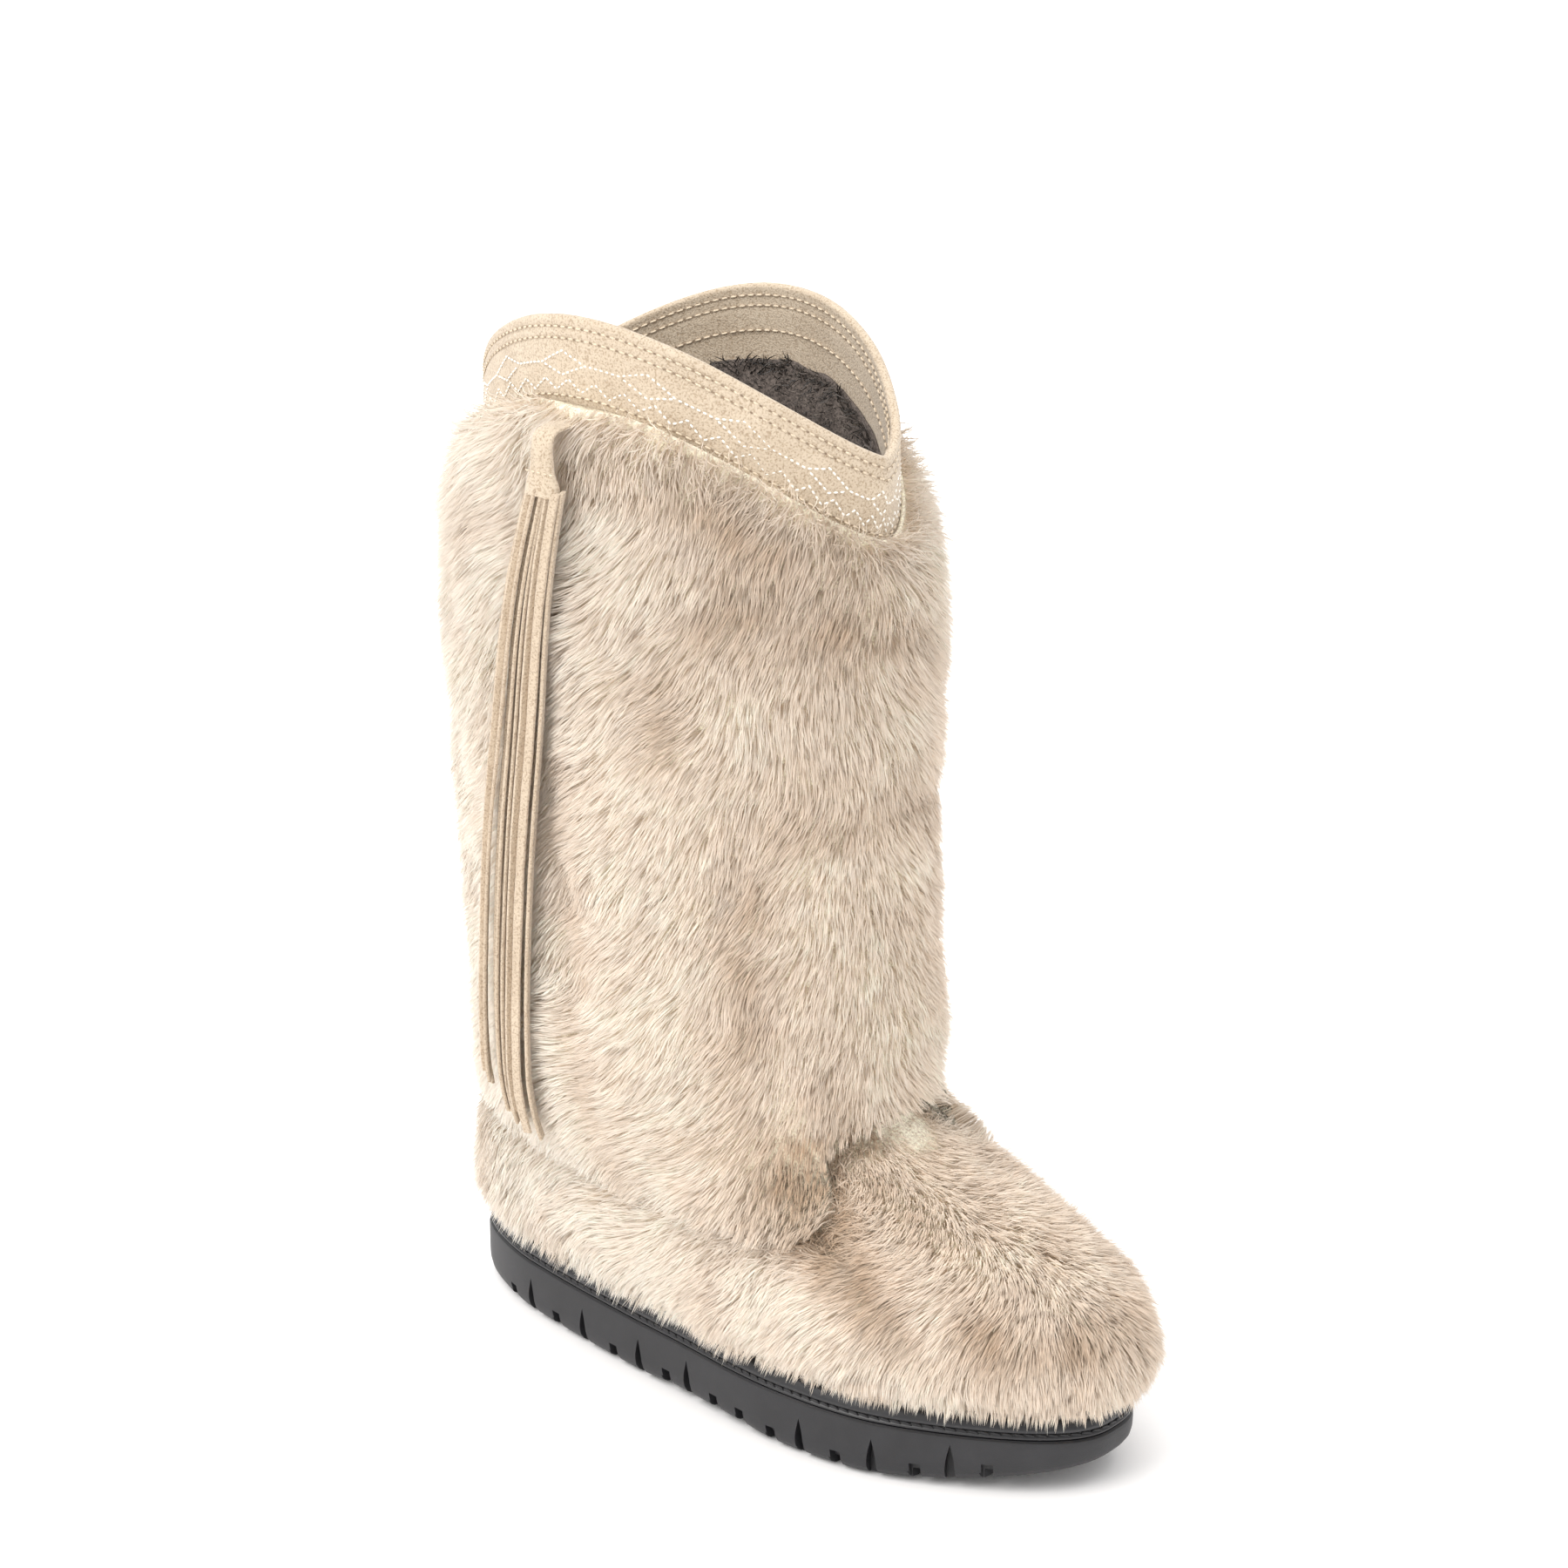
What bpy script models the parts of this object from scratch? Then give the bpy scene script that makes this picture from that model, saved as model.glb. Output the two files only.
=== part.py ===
"""A tall fur mukluk boot for the right foot.

The frame has +X towards the toe, +Y towards the inner (medial) side and +Z up. The origin is on the
ground under the middle of the heel. Lengths are in metres.

Every curved piece comes from one of two surfaces: the outline of the sole, and the skin of the last,
which is the outside of the suede upper. Both run around the boot with an angle: 0 is the back of the
heel, pi/2 the inner side, pi the toe and 3 pi/2 the outer side.
"""

import math

import bmesh
import bpy
import numpy as np

# Sizes of the sole
SOLE_LENGTH = 0.290
BALL_WIDTH = 0.100
HEEL_WIDTH = 0.074
TOE_SWING = 0.006
SOLE_ROUND = 0.75
SOLE_THICKNESS = 0.0225
TOE_SPRING = 0.0105
ARCH_RISE = 0.0015
EDGE_ROUND = 0.007
TOP_CHAMFER = 0.0010
HEEL_SHARE = 0.15

# Sizes of the tread: channels across the sole, and pointed notches in its side
CHANNEL_WIDTH = 0.0036
CHANNEL_DEPTH = 0.0042
NOTCH_WIDTH = 0.0038
NOTCH_HEIGHT = 0.0130
NOTCH_DEPTH = 0.0050

# Sizes of the upper and what lies on it
LAST_INSET = 0.0085
INSTEP_HEIGHT = 0.100
SHAFT_HEIGHT = 0.276
SHAFT_WIDTH = 0.1135
SHAFT_SHIFT = 0.0025
WALL = 0.0030
GAP = 0.0003
RAND_HEIGHT = 0.0075
RAND_STEP = 0.0013
RAND_SLOPE = 0.0035
INSOLE_THICKNESS = 0.006
INSOLE_CLEARANCE = 0.0008
RIM_RISE = 0.021
RIM_TILT = 0.0055
RIM_LEAN = 0.0025
COLLAR_HEIGHT = 0.044
COLLAR_SHOWN = 0.029
COLLAR_WALL = 0.0036

# Sizes of the fur: its depth, how much deeper it is above a share of the shaft, its edges, its locks
# and the dip for the tassel's strap
FUR_DEPTH = 0.0155
FUR_FLARE = 0.0030
FLARE_START = 0.55
FLARE_RUN = 0.30
FUR_LIFT = 0.0050
SEAM_GAP = 0.0016
FUR_GAP = 0.0009
LOCK_STEP = 0.0040
LOCK_DROP = 0.0045
TIP_SWELL = 0.6
LOCK_UNEVEN = 0.3
STRAP_DIP = 0.006
STRAP_DIP_SPREAD = 0.16

# Sizes of the tassel
TASSEL_REACH = 0.100
TASSEL_LEAN = 0.028
TAB_WIDTH = 0.0085
TAB_FLARE = 0.0060
TAB_LENGTH = 0.022
TAB_THICKNESS = 0.0045
STRAP_THICKNESS = 0.0016
STRAP_RISE = 0.0028
STRIP_LENGTH = 0.243
STRIP_WIDTH = 0.0042
STRIP_THICKNESS = 0.0013
TASSEL_CLEARANCE = 0.0012
HEAD_WIDTH_SHARE = 0.82
HEAD_THICKNESS_SHARE = 0.9
STRIP_SPACING = 0.75
STRIP_FAN = 0.1

# How finely the surfaces are divided, and the rows of fur locks
AROUND = 48
SOLE_AROUND = 96
FOOT_SHARES = (0.0, 0.20, 0.38, 0.54, 0.68, 0.80, 0.91, 1.0)
SHAFT_SHARES = (0.0, 0.05, 0.12, 0.25, 0.45, 0.70, 1.0)
FOOT_ROWS = 5
SHAFT_ROWS = 8
LOCK_COLUMNS = 3
STRIP_POINTS = 9

# The sole's half widths: how far along, how much the heel width counts there, then the outer and
# inner half widths as shares of the width that counts.
SOLE_COLUMNS = ("along", "heel_part", "outer", "inner")
SOLE_TABLE = (
    (0.00, 1.00, 0.485, 0.485),
    (0.15, 1.00, 0.555, 0.515),
    (0.42, 0.60, 0.535, 0.450),
    (0.62, 0.15, 0.550, 0.480),
    (0.74, 0.00, 0.550, 0.520),
    (0.88, 0.00, 0.500, 0.520),
    (1.00, 0.00, 0.440, 0.460),
)

# The last, one row for each level: its height as a share of the instep height and of the shaft
# height, the back and front as shares of the sole length, the shaft's width as a share of its full
# width, how much the foot's own plan counts, that plan's girth, and the power that rounds the plan.
LAST_COLUMNS = ("instep", "shaft", "back", "front", "width", "foot", "girth", "round")
LAST_TABLE = (
    (0.00, 0.00, 0.034, 0.966, 0.86, 1.00, 1.000, 0.76),
    (0.10, 0.00, 0.036, 0.980, 0.86, 1.00, 1.030, 0.76),
    (0.22, 0.00, 0.038, 0.988, 0.86, 0.98, 1.050, 0.77),
    (0.36, 0.00, 0.042, 0.976, 0.86, 0.94, 1.050, 0.80),
    (0.50, 0.00, 0.048, 0.918, 0.88, 0.84, 1.020, 0.84),
    (0.62, 0.00, 0.053, 0.826, 0.89, 0.68, 1.000, 0.88),
    (0.74, 0.00, 0.056, 0.726, 0.90, 0.44, 1.000, 0.92),
    (0.86, 0.00, 0.059, 0.664, 0.91, 0.20, 1.000, 0.96),
    (1.00, 0.00, 0.060, 0.646, 0.92, 0.06, 1.000, 1.00),
    (1.00, 0.14, 0.058, 0.642, 0.93, 0.00, 1.000, 1.02),
    (1.00, 0.40, 0.042, 0.630, 0.96, 0.00, 1.000, 1.06),
    (1.00, 0.70, 0.030, 0.634, 0.99, 0.00, 1.000, 1.25),
    (1.00, 1.00, 0.022, 0.642, 1.00, 0.00, 1.000, 1.50),
    (1.00, 1.20, 0.020, 0.642, 1.00, 0.00, 1.000, 1.55),
)

# The seam between the foot's fur and the shaft's, as shares of the instep height around the boot
SEAM_TABLE = (
    (0.00, 0.66),
    (0.25, 0.60),
    (0.36, 0.62),
    (0.43, 0.84),
    (0.50, 0.98),
    (0.56, 0.92),
    (0.63, 0.66),
    (0.70, 0.58),
    (0.82, 0.62),
    (1.00, 0.66),
)

# Where the side notches and the tread's channels lie, as shares of the sole length
NOTCHES = (0.150, 0.259, 0.370, 0.462, 0.660, 0.763, 0.856)
CHANNELS = (0.102, 0.199, 0.316, 0.418, 0.508, 0.556, 0.610, 0.710, 0.812, 0.893)

# The tassel's strips: place across the tassel and towards the boot, as shares of a strip's width
# and thickness, how far the strip drifts by its foot, how far its middle bows, and its length share
STRIP_TABLE = (
    (-1.45, 0.0, -1.0, -0.9, 0.955),
    (-0.75, 1.3, -1.5, -0.5, 0.945),
    (-0.50, -1.3, -0.3, -0.8, 0.985),
    (0.00, 1.4, 0.2, -0.3, 0.990),
    (0.25, -1.4, 0.5, 0.1, 1.000),
    (0.75, 0.0, 0.8, 0.3, 0.992),
    (1.10, 1.5, 1.0, 0.5, 0.988),
    (1.45, -0.9, 1.3, 0.6, 1.000),
)

SUEDE = ("suede", (0.80, 0.68, 0.53), 0.92)
FUR = ("fur", (0.83, 0.74, 0.64), 0.95)
RUBBER = ("rubber", (0.035, 0.035, 0.038), 0.62)
RAND_LEATHER = ("rand_leather", (0.040, 0.042, 0.045), 0.45)
PILE = ("lining_pile", (0.24, 0.21, 0.19), 0.98)


def ease(t):
    """A smooth step from 0 to 1."""
    t = np.clip(t, 0.0, 1.0)
    return t * t * (3 - 2 * t)


def follow(places, values, at):
    """A smooth curve through the values at the places, with no overshoot at flat stretches."""
    places = np.asarray(places, float)
    values = np.asarray(values, float)
    at = np.clip(at, places[0], places[-1])
    steps = np.diff(places)
    rises = np.diff(values) / steps
    slopes = np.zeros(len(values))
    slopes[0], slopes[-1] = rises[0], rises[-1]
    for i in range(1, len(values) - 1):
        if rises[i - 1] * rises[i] > 0:
            slopes[i] = 2 / (1 / rises[i - 1] + 1 / rises[i])
    i = np.clip(np.searchsorted(places, at, side="right") - 1, 0, len(steps) - 1)
    h = steps[i]
    t = (at - places[i]) / h
    return (
        values[i] * (1 + 2 * t) * (1 - t) ** 2
        + slopes[i] * h * t * (1 - t) ** 2
        + values[i + 1] * t * t * (3 - 2 * t)
        + slopes[i + 1] * h * t * t * (t - 1)
    )


def column(table, names, name):
    return [row[names.index(name)] for row in table]


def around(count=AROUND):
    """Evenly spaced angles around the boot."""
    return np.arange(count) * 2 * math.pi / count


def plan_half_width(share, inner):
    """The sole's half width at a share of its length, on the inner or the outer side."""
    places = column(SOLE_TABLE, SOLE_COLUMNS, "along")
    part = follow(places, column(SOLE_TABLE, SOLE_COLUMNS, "heel_part"), share)
    width = part * HEEL_WIDTH + (1 - part) * BALL_WIDTH
    outer_side = follow(places, column(SOLE_TABLE, SOLE_COLUMNS, "outer"), share)
    inner_side = follow(places, column(SOLE_TABLE, SOLE_COLUMNS, "inner"), share)
    return width * np.where(inner, inner_side, outer_side)


def swing(share):
    """How far the foot's middle line lies towards the inner side."""
    return TOE_SWING * np.clip((share - 0.6) / 0.4, 0, 1) ** 2


def sole_plan(angle, inset=0.0):
    """Points on the sole's outline, moved inwards by inset."""

    def raw(a):
        share = (1 - np.cos(a)) / 2
        side = np.sin(a)
        half = plan_half_width(share, side > 0)
        y = np.sign(side) * half * np.abs(side) ** SOLE_ROUND + swing(share)
        return share * SOLE_LENGTH, y

    step = 1e-3
    x, y = raw(angle)
    x1, y1 = raw(angle + step)
    x0, y0 = raw(angle - step)
    dx, dy = x1 - x0, y1 - y0
    length = np.hypot(dx, dy)
    return x + dy / length * inset, y - dx / length * inset


def last_levels():
    """The height of each row of the last's table."""
    instep = np.array(column(LAST_TABLE, LAST_COLUMNS, "instep"))
    shaft = np.array(column(LAST_TABLE, LAST_COLUMNS, "shaft"))
    return SOLE_THICKNESS + instep * INSTEP_HEIGHT + shaft * SHAFT_HEIGHT


def last_plan(angle, z):
    """The last's skin, which is the outside of the upper, at an angle and a height."""
    levels = last_levels()

    def at(name):
        return follow(levels, column(LAST_TABLE, LAST_COLUMNS, name), z)

    side = np.sin(angle)
    back, front = at("back") * SOLE_LENGTH, at("front") * SOLE_LENGTH
    x = back + (front - back) * (1 - np.cos(angle)) / 2
    share = x / SOLE_LENGTH
    foot = (plan_half_width(share, side > 0) - LAST_INSET) * at("girth")
    shaft = at("width") * SHAFT_WIDTH / 2
    mix = at("foot")
    half = mix * foot + (1 - mix) * shaft
    middle = mix * swing(share) + (1 - mix) * SHAFT_SHIFT
    y = np.sign(side) * half * np.abs(side) ** at("round") + middle
    return np.stack(np.broadcast_arrays(x, y, z), axis=-1)


def skin(angle, z, out):
    """The last's skin moved outwards by out, square to itself, and level near the sole."""
    angle, z = np.broadcast_arrays(np.asarray(angle, float), np.asarray(z, float))
    turn, rise = 2e-3, 5e-4
    along = last_plan(angle + turn, z) - last_plan(angle - turn, z)
    up = last_plan(angle, z + rise) - last_plan(angle, z - rise)
    normal = np.cross(up, along)
    normal[..., 2] *= ease((z - SOLE_THICKNESS) / (2 * RAND_HEIGHT) - 0.4)
    normal /= np.linalg.norm(normal, axis=-1, keepdims=True)
    return last_plan(angle, z) + normal * np.asarray(out)[..., None]


def rim_height(angle):
    """The collar's top edge: high at both sides, most of all the outer, low at front and back."""
    top = SOLE_THICKNESS + INSTEP_HEIGHT + SHAFT_HEIGHT
    tilt = RIM_TILT * np.sin(angle) + RIM_LEAN * np.cos(angle)
    return top - RIM_RISE * (1 + np.cos(2 * angle)) - tilt


def collar_foot(angle):
    """The collar's lower edge, hidden behind the fur."""
    return rim_height(angle) - COLLAR_HEIGHT


def fur_top(angle):
    """The fur's top edge, with a dip where the tassel's strap goes through."""
    away = np.arctan2(np.sin(angle - tassel_angle()), np.cos(angle - tassel_angle()))
    dip = STRAP_DIP * np.exp(-((away / STRAP_DIP_SPREAD) ** 2))
    return rim_height(angle) - COLLAR_SHOWN - dip


def seam_height(angle):
    """The seam between the foot's fur and the shaft's."""
    share = np.mod(angle, 2 * math.pi) / (2 * math.pi)
    places = [row[0] for row in SEAM_TABLE]
    return SOLE_THICKNESS + INSTEP_HEIGHT * follow(places, [row[1] for row in SEAM_TABLE], share)


def outer_angle(x, z):
    """The angle on the outer side at which the last's skin has this x, at a height."""
    levels = last_levels()
    back = follow(levels, column(LAST_TABLE, LAST_COLUMNS, "back"), z) * SOLE_LENGTH
    front = follow(levels, column(LAST_TABLE, LAST_COLUMNS, "front"), z) * SOLE_LENGTH
    return 2 * math.pi - np.arccos(1 - 2 * (x - back) / (front - back))


def tassel_angle():
    """The angle on the outer side at which the tassel hangs."""
    return float(outer_angle(TASSEL_REACH, SOLE_THICKNESS + INSTEP_HEIGHT + SHAFT_HEIGHT))


def fur_depth(angle, z):
    """How far the fur stands off the last's skin: a little further near its top edge."""
    seam = seam_height(angle)
    share = (z - seam) / (fur_top(angle) - seam)
    return FUR_DEPTH + FUR_FLARE * ease((share - FLARE_START) / FLARE_RUN)


def finish(shade, look):
    """A plain material: its name, colour and roughness."""
    name, colour, roughness = look
    found = bpy.data.materials.get(name) or bpy.data.materials.new(name)
    found.use_nodes = True
    surface = found.node_tree.nodes["Principled BSDF"]
    surface.inputs["Base Color"].default_value = (*colour, 1.0)
    surface.inputs["Roughness"].default_value = roughness
    surface.inputs["Metallic"].default_value = 0.0
    shade.materials.append(found)


def add_piece(name, points, faces, look, parent, sharp=40):
    """One named object from points and faces, with its faces turned outwards."""
    mesh = bpy.data.meshes.new(name)
    mesh.from_pydata([tuple(p) for p in points], [], [tuple(f) for f in faces])
    shape = bmesh.new()
    shape.from_mesh(mesh)
    bmesh.ops.recalc_face_normals(shape, faces=shape.faces)
    shape.to_mesh(mesh)
    shape.free()
    mesh.shade_smooth()
    mesh.set_sharp_from_angle(angle=math.radians(sharp))
    finish(mesh, look)
    piece = bpy.data.objects.new(name, mesh)
    bpy.context.scene.collection.objects.link(piece)
    piece.parent = parent
    return piece


def ring_faces(rings, closed):
    """Triangles between rings of points, and from the last ring to the first where closed. Each
    square is split from its lower left to its upper right, so that nested walls stay parallel."""
    faces = []
    rows, count = len(rings), len(rings[0])
    for r in range(rows if closed else rows - 1):
        s = (r + 1) % rows
        rising = rings[s][:, 2].mean() >= rings[r][:, 2].mean()
        for j in range(count):
            k = (j + 1) % count
            a, b, c, d = r * count + j, r * count + k, s * count + k, s * count + j
            faces += [(a, b, c), (a, c, d)] if rising else [(a, b, d), (b, c, d)]
    return faces


def add_wall(name, rings, look, parent, sharp=40):
    """A hollow ring: rings of points that go up its outside and down its inside."""
    return add_piece(name, np.concatenate(rings), ring_faces(rings, True), look, parent, sharp)


def cap_faces(start, count):
    """Faces across a ring whose points face each other over the boot's middle line."""
    faces = [(start, start + 1, start + count - 1)]
    for j in range(1, count // 2 - 1):
        faces.append((start + j, start + j + 1, start + count - j - 1, start + count - j))
    j = count // 2 - 1
    faces.append((start + j, start + j + 1, start + j + 2))
    return faces


def add_slab(name, rings, look, parent, sharp=40):
    """A solid from stacked rings, closed across at the bottom and the top."""
    count = len(rings[0])
    faces = ring_faces(rings, False)
    faces += cap_faces(0, count) + cap_faces((len(rings) - 1) * count, count)
    return add_piece(name, np.concatenate(rings), faces, look, parent, sharp)


def add_box_cutter(name, low, high, parent):
    """A box between two corners, used only to cut."""
    corners = [(x, y, z) for x in (low[0], high[0]) for y in (low[1], high[1]) for z in (low[2], high[2])]
    faces = [(0, 1, 3, 2), (4, 6, 7, 5), (0, 4, 5, 1), (2, 3, 7, 6), (0, 2, 6, 4), (1, 5, 7, 3)]
    return hide(add_piece(name, corners, faces, RUBBER, parent))


def hide(cutter):
    cutter.hide_render = True
    cutter.display_type = "WIRE"
    return cutter


def cut(piece, cutter):
    modifier = piece.modifiers.new(cutter.name, "BOOLEAN")
    modifier.operation = "DIFFERENCE"
    modifier.solver = "EXACT"
    modifier.object = cutter


def underside(share):
    """The height of the sole's underside: level at heel and ball, raised at arch and toe."""
    arch = ARCH_RISE * ease((share - 0.36) / 0.08) * ease((0.62 - share) / 0.08)
    spring = TOE_SPRING * np.clip((share - 0.72) / 0.28, 0, 1) ** 1.7
    return arch + spring


def sole_ring(inset, height, from_top=False):
    """A ring of the sole at a height above its underside, or below its top."""
    angle = around(SOLE_AROUND)
    x, y = sole_plan(angle, inset)
    base = underside((1 - np.cos(angle)) / 2)
    z = np.full_like(x, SOLE_THICKNESS - height) if from_top else base + height
    return np.column_stack([x, y, z])


def notch_cutter(index, share, inner, parent):
    """A pointed prism that cuts a notch into the side of the sole."""
    angle = math.acos(1 - 2 * share)
    angle = angle if inner else 2 * math.pi - angle
    x, y = (float(v) for v in sole_plan(angle))
    ahead = [float(v) for v in sole_plan(angle + 0.01)]
    behind = [float(v) for v in sole_plan(angle - 0.01)]
    dx, dy = ahead[0] - behind[0], ahead[1] - behind[1]
    length = math.hypot(dx, dy)
    along, out = (dx / length, dy / length), (-dy / length, dx / length)
    half, tall = NOTCH_WIDTH / 2, NOTCH_HEIGHT
    base = float(underside(share))
    outline = [(-half, -EDGE_ROUND)]
    for level, width in ((0.0, 1.0), (0.35, 0.95), (0.65, 0.68), (0.85, 0.34)):
        outline.append((-half * width, level * tall))
    outline.append((0.0, tall))
    outline += [(-a, b) for a, b in reversed(outline[:-1])]
    points = []
    for reach in (-NOTCH_DEPTH, NOTCH_DEPTH):
        for a, b in outline:
            place = (x + along[0] * a + out[0] * reach, y + along[1] * a + out[1] * reach)
            points.append((*place, base + b))
    n = len(outline)
    faces = [tuple(range(n)), tuple(range(n, 2 * n))]
    faces += [(j, (j + 1) % n, n + (j + 1) % n, n + j) for j in range(n)]
    side = "inner" if inner else "outer"
    return hide(add_piece(f"cut_notch_{side}_{index}", points, faces, RUBBER, parent))


def build_outsole(parent):
    """The rubber sole: a rounded lower edge, channels across the tread and notches in the side."""
    rings = [
        sole_ring(EDGE_ROUND, 0.0),
        sole_ring(EDGE_ROUND * 0.42, EDGE_ROUND * 0.20),
        sole_ring(EDGE_ROUND * 0.08, EDGE_ROUND * 0.70),
        sole_ring(0.0, EDGE_ROUND * 1.3),
        sole_ring(0.0, TOP_CHAMFER, from_top=True),
        sole_ring(TOP_CHAMFER, 0.0, from_top=True),
    ]
    sole = add_slab("outsole", rings, RUBBER, parent)
    for i, share in enumerate(CHANNELS):
        x, base = share * SOLE_LENGTH, float(underside(share))
        low = (x - CHANNEL_WIDTH / 2, -BALL_WIDTH, base - CHANNEL_DEPTH)
        high = (x + CHANNEL_WIDTH / 2, BALL_WIDTH, base + CHANNEL_DEPTH)
        cut(sole, add_box_cutter(f"cut_channel_{i}", low, high, parent))
    for i, share in enumerate(NOTCHES):
        for inner in (False, True):
            cut(sole, notch_cutter(i, share, inner, parent))
    return sole


def build_rand(parent):
    """The black strip that closes the joint between the sole and the upper."""
    angle = around()
    low = SOLE_THICKNESS + GAP

    def outside(inset, rise):
        x, y = sole_plan(angle, inset)
        return np.column_stack([x, y, np.full_like(x, low + rise)])

    def inside(rise):
        return skin(angle, np.full_like(angle, low + rise), GAP)

    rings = [
        outside(RAND_STEP, 0.0),
        outside(RAND_STEP * 0.8, RAND_HEIGHT * 0.35),
        outside(RAND_STEP + RAND_SLOPE * 0.35, RAND_HEIGHT * 0.72),
        outside(RAND_STEP + RAND_SLOPE, RAND_HEIGHT),
        inside(RAND_HEIGHT),
        inside(RAND_HEIGHT * 0.5),
        inside(0.0),
    ]
    return add_wall("rand", rings, RAND_LEATHER, parent)


def build_insole(parent):
    """The soft footbed that lies on the sole inside the upper."""
    angle = around()
    low = SOLE_THICKNESS + GAP

    def ring(inset, rise):
        return skin(angle, np.full_like(angle, low + rise), -(WALL + INSOLE_CLEARANCE + inset))

    edge = INSOLE_THICKNESS * 0.25
    rings = [
        ring(0.0, 0.0),
        ring(0.0, INSOLE_THICKNESS - edge),
        ring(edge, INSOLE_THICKNESS),
    ]
    return add_slab("insole", rings, PILE, parent)


def foot_level(share):
    """A level between the lower edge of the foot's fur and the seam."""
    low = SOLE_THICKNESS + RAND_HEIGHT + FUR_LIFT
    return low + (seam_height(around()) - low) * share


def shaft_level(share):
    """A level between the seam and the foot of the collar."""
    seam = seam_height(around())
    return seam + (collar_foot(around()) - seam) * share


def upper_levels():
    """The levels of the upper's rings, which the fur's inner side shares."""
    levels = [SOLE_THICKNESS + GAP + 0 * around()]
    levels += [foot_level(share) for share in FOOT_SHARES]
    levels += [shaft_level(share) for share in SHAFT_SHARES[1:]]
    levels[-1] = levels[-1] - GAP
    return levels


def build_upper(parent):
    """The hollow suede boot, open at the top and underneath, where the sole closes it."""
    levels = upper_levels()
    outside = [skin(around(), level, 0.0) for level in levels]
    inside = [skin(around(), level, -WALL) for level in levels[::-1]]
    return add_wall("upper", outside + inside, SUEDE, parent)


def build_collar(parent):
    """The stitched suede collar, two layers thick, that stands on the upper."""
    angle = around()
    foot, rim = collar_foot(angle), rim_height(angle)
    bead = COLLAR_WALL * 0.3
    outside = [skin(angle, foot + (rim - bead - foot) * t, 0.0) for t in (0.0, 0.33, 0.66, 1.0)]
    inside = [skin(angle, foot + (rim - bead - foot) * t, -COLLAR_WALL) for t in (1.0, 0.5, 0.0)]
    crest = [skin(angle, rim, -COLLAR_WALL * t) for t in (0.3, 0.7)]
    return add_wall("collar", outside + crest + inside, SUEDE, parent)


def lock_shape(row):
    """How far each column of a row of fur locks stands out, from 0 in a parting to 1 on a lock."""
    j = np.arange(AROUND)
    wave = 0.5 + 0.5 * np.cos(2 * math.pi * (j / LOCK_COLUMNS + row / 2))
    uneven = 0.5 + 0.5 * np.sin(j * 2.399 + row * 1.7)
    return (1 - LOCK_UNEVEN) * wave + LOCK_UNEVEN * uneven


def fur_outside(low, high, rows):
    """Rings of a fur's outside: each row of locks hangs over the one below it."""
    rings = []
    for row in range(rows):
        lock = lock_shape(row)
        start = low + (high - low) * row / rows
        depth = fur_depth(around(), start)
        rings.append(skin(around(), start, depth - LOCK_STEP))
        tip = depth + LOCK_STEP * TIP_SWELL * (lock - 0.5)
        rings.append(skin(around(), start - LOCK_DROP * lock, tip))
    return rings + [skin(around(), high, FUR_DEPTH - LOCK_STEP)]


def build_fur(parent):
    """The fur of the foot and of the shaft, with rows of locks, meeting at a seam."""
    levels = [foot_level(share) for share in FOOT_SHARES]
    levels[-1] = levels[-1] - SEAM_GAP / 2
    outside = fur_outside(levels[0], levels[-1], FOOT_ROWS)
    inside = [skin(around(), level, FUR_GAP) for level in levels[::-1]]
    add_wall("fur_foot", outside + inside, FUR, parent, 60)

    levels = [shaft_level(share) for share in SHAFT_SHARES]
    levels[0] = levels[0] + SEAM_GAP / 2
    levels.append(fur_top(around()))
    outside = fur_outside(levels[0], levels[-1], SHAFT_ROWS)
    inside = [skin(around(), level, FUR_GAP) for level in levels[::-1]]
    add_wall("fur_shaft", outside + inside, FUR, parent, 60)


def on_fur(x, z, lift):
    """A point lift clear of the tips of the fur, on the outer side."""
    angle = outer_angle(x, z)
    tips = LOCK_STEP * TIP_SWELL / 2 + TASSEL_CLEARANCE
    return skin(angle, z, fur_depth(angle, z) + tips + lift)


def tassel_frame():
    """Where the tassel's strap leaves the collar, and the way across the strap."""
    angle = tassel_angle()
    root = skin(angle, fur_top(np.array(angle)) + STRAP_RISE, GAP)
    out = skin(angle, root[2], FUR_DEPTH) - root
    out[2] = 0.0
    out /= np.linalg.norm(out)
    return root, np.array([-out[1], out[0], 0.0])


def sweep(path, widths, depths, across):
    """Points and faces of a flat strip along a path, with the given widths and depths."""
    points, faces = [], []
    for i, place in enumerate(path):
        ahead = path[min(i + 1, len(path) - 1)] - path[max(i - 1, 0)]
        square = np.cross(ahead, across)
        square /= np.linalg.norm(square)
        for a, b in ((-1, -1), (1, -1), (1, 1), (-1, 1)):
            points.append(place + across * a * widths[i] / 2 + square * b * depths[i] / 2)
    last = len(path) - 1
    for i in range(last):
        for j in range(4):
            k = (j + 1) % 4
            faces.append((4 * i + j, 4 * i + k, 4 * i + 4 + k, 4 * i + 4 + j))
    faces += [(0, 1, 2, 3), (4 * last, 4 * last + 1, 4 * last + 2, 4 * last + 3)]
    return points, faces


def tassel_line():
    """The tab's path: out over the fur's edge and down its outside, as far as the tab's foot."""
    root, across = tassel_frame()
    x, z = root[0], root[2]
    edge = on_fur(x, z, 0.0)
    path = [root, root * 0.4 + edge * 0.6, edge]
    path[1][2] = path[2][2] = z
    for drop in (0.18, 0.60, 1.0):
        path.append(on_fur(x, z - TAB_LENGTH * drop, TAB_THICKNESS / 2))
    return path, across


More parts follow.
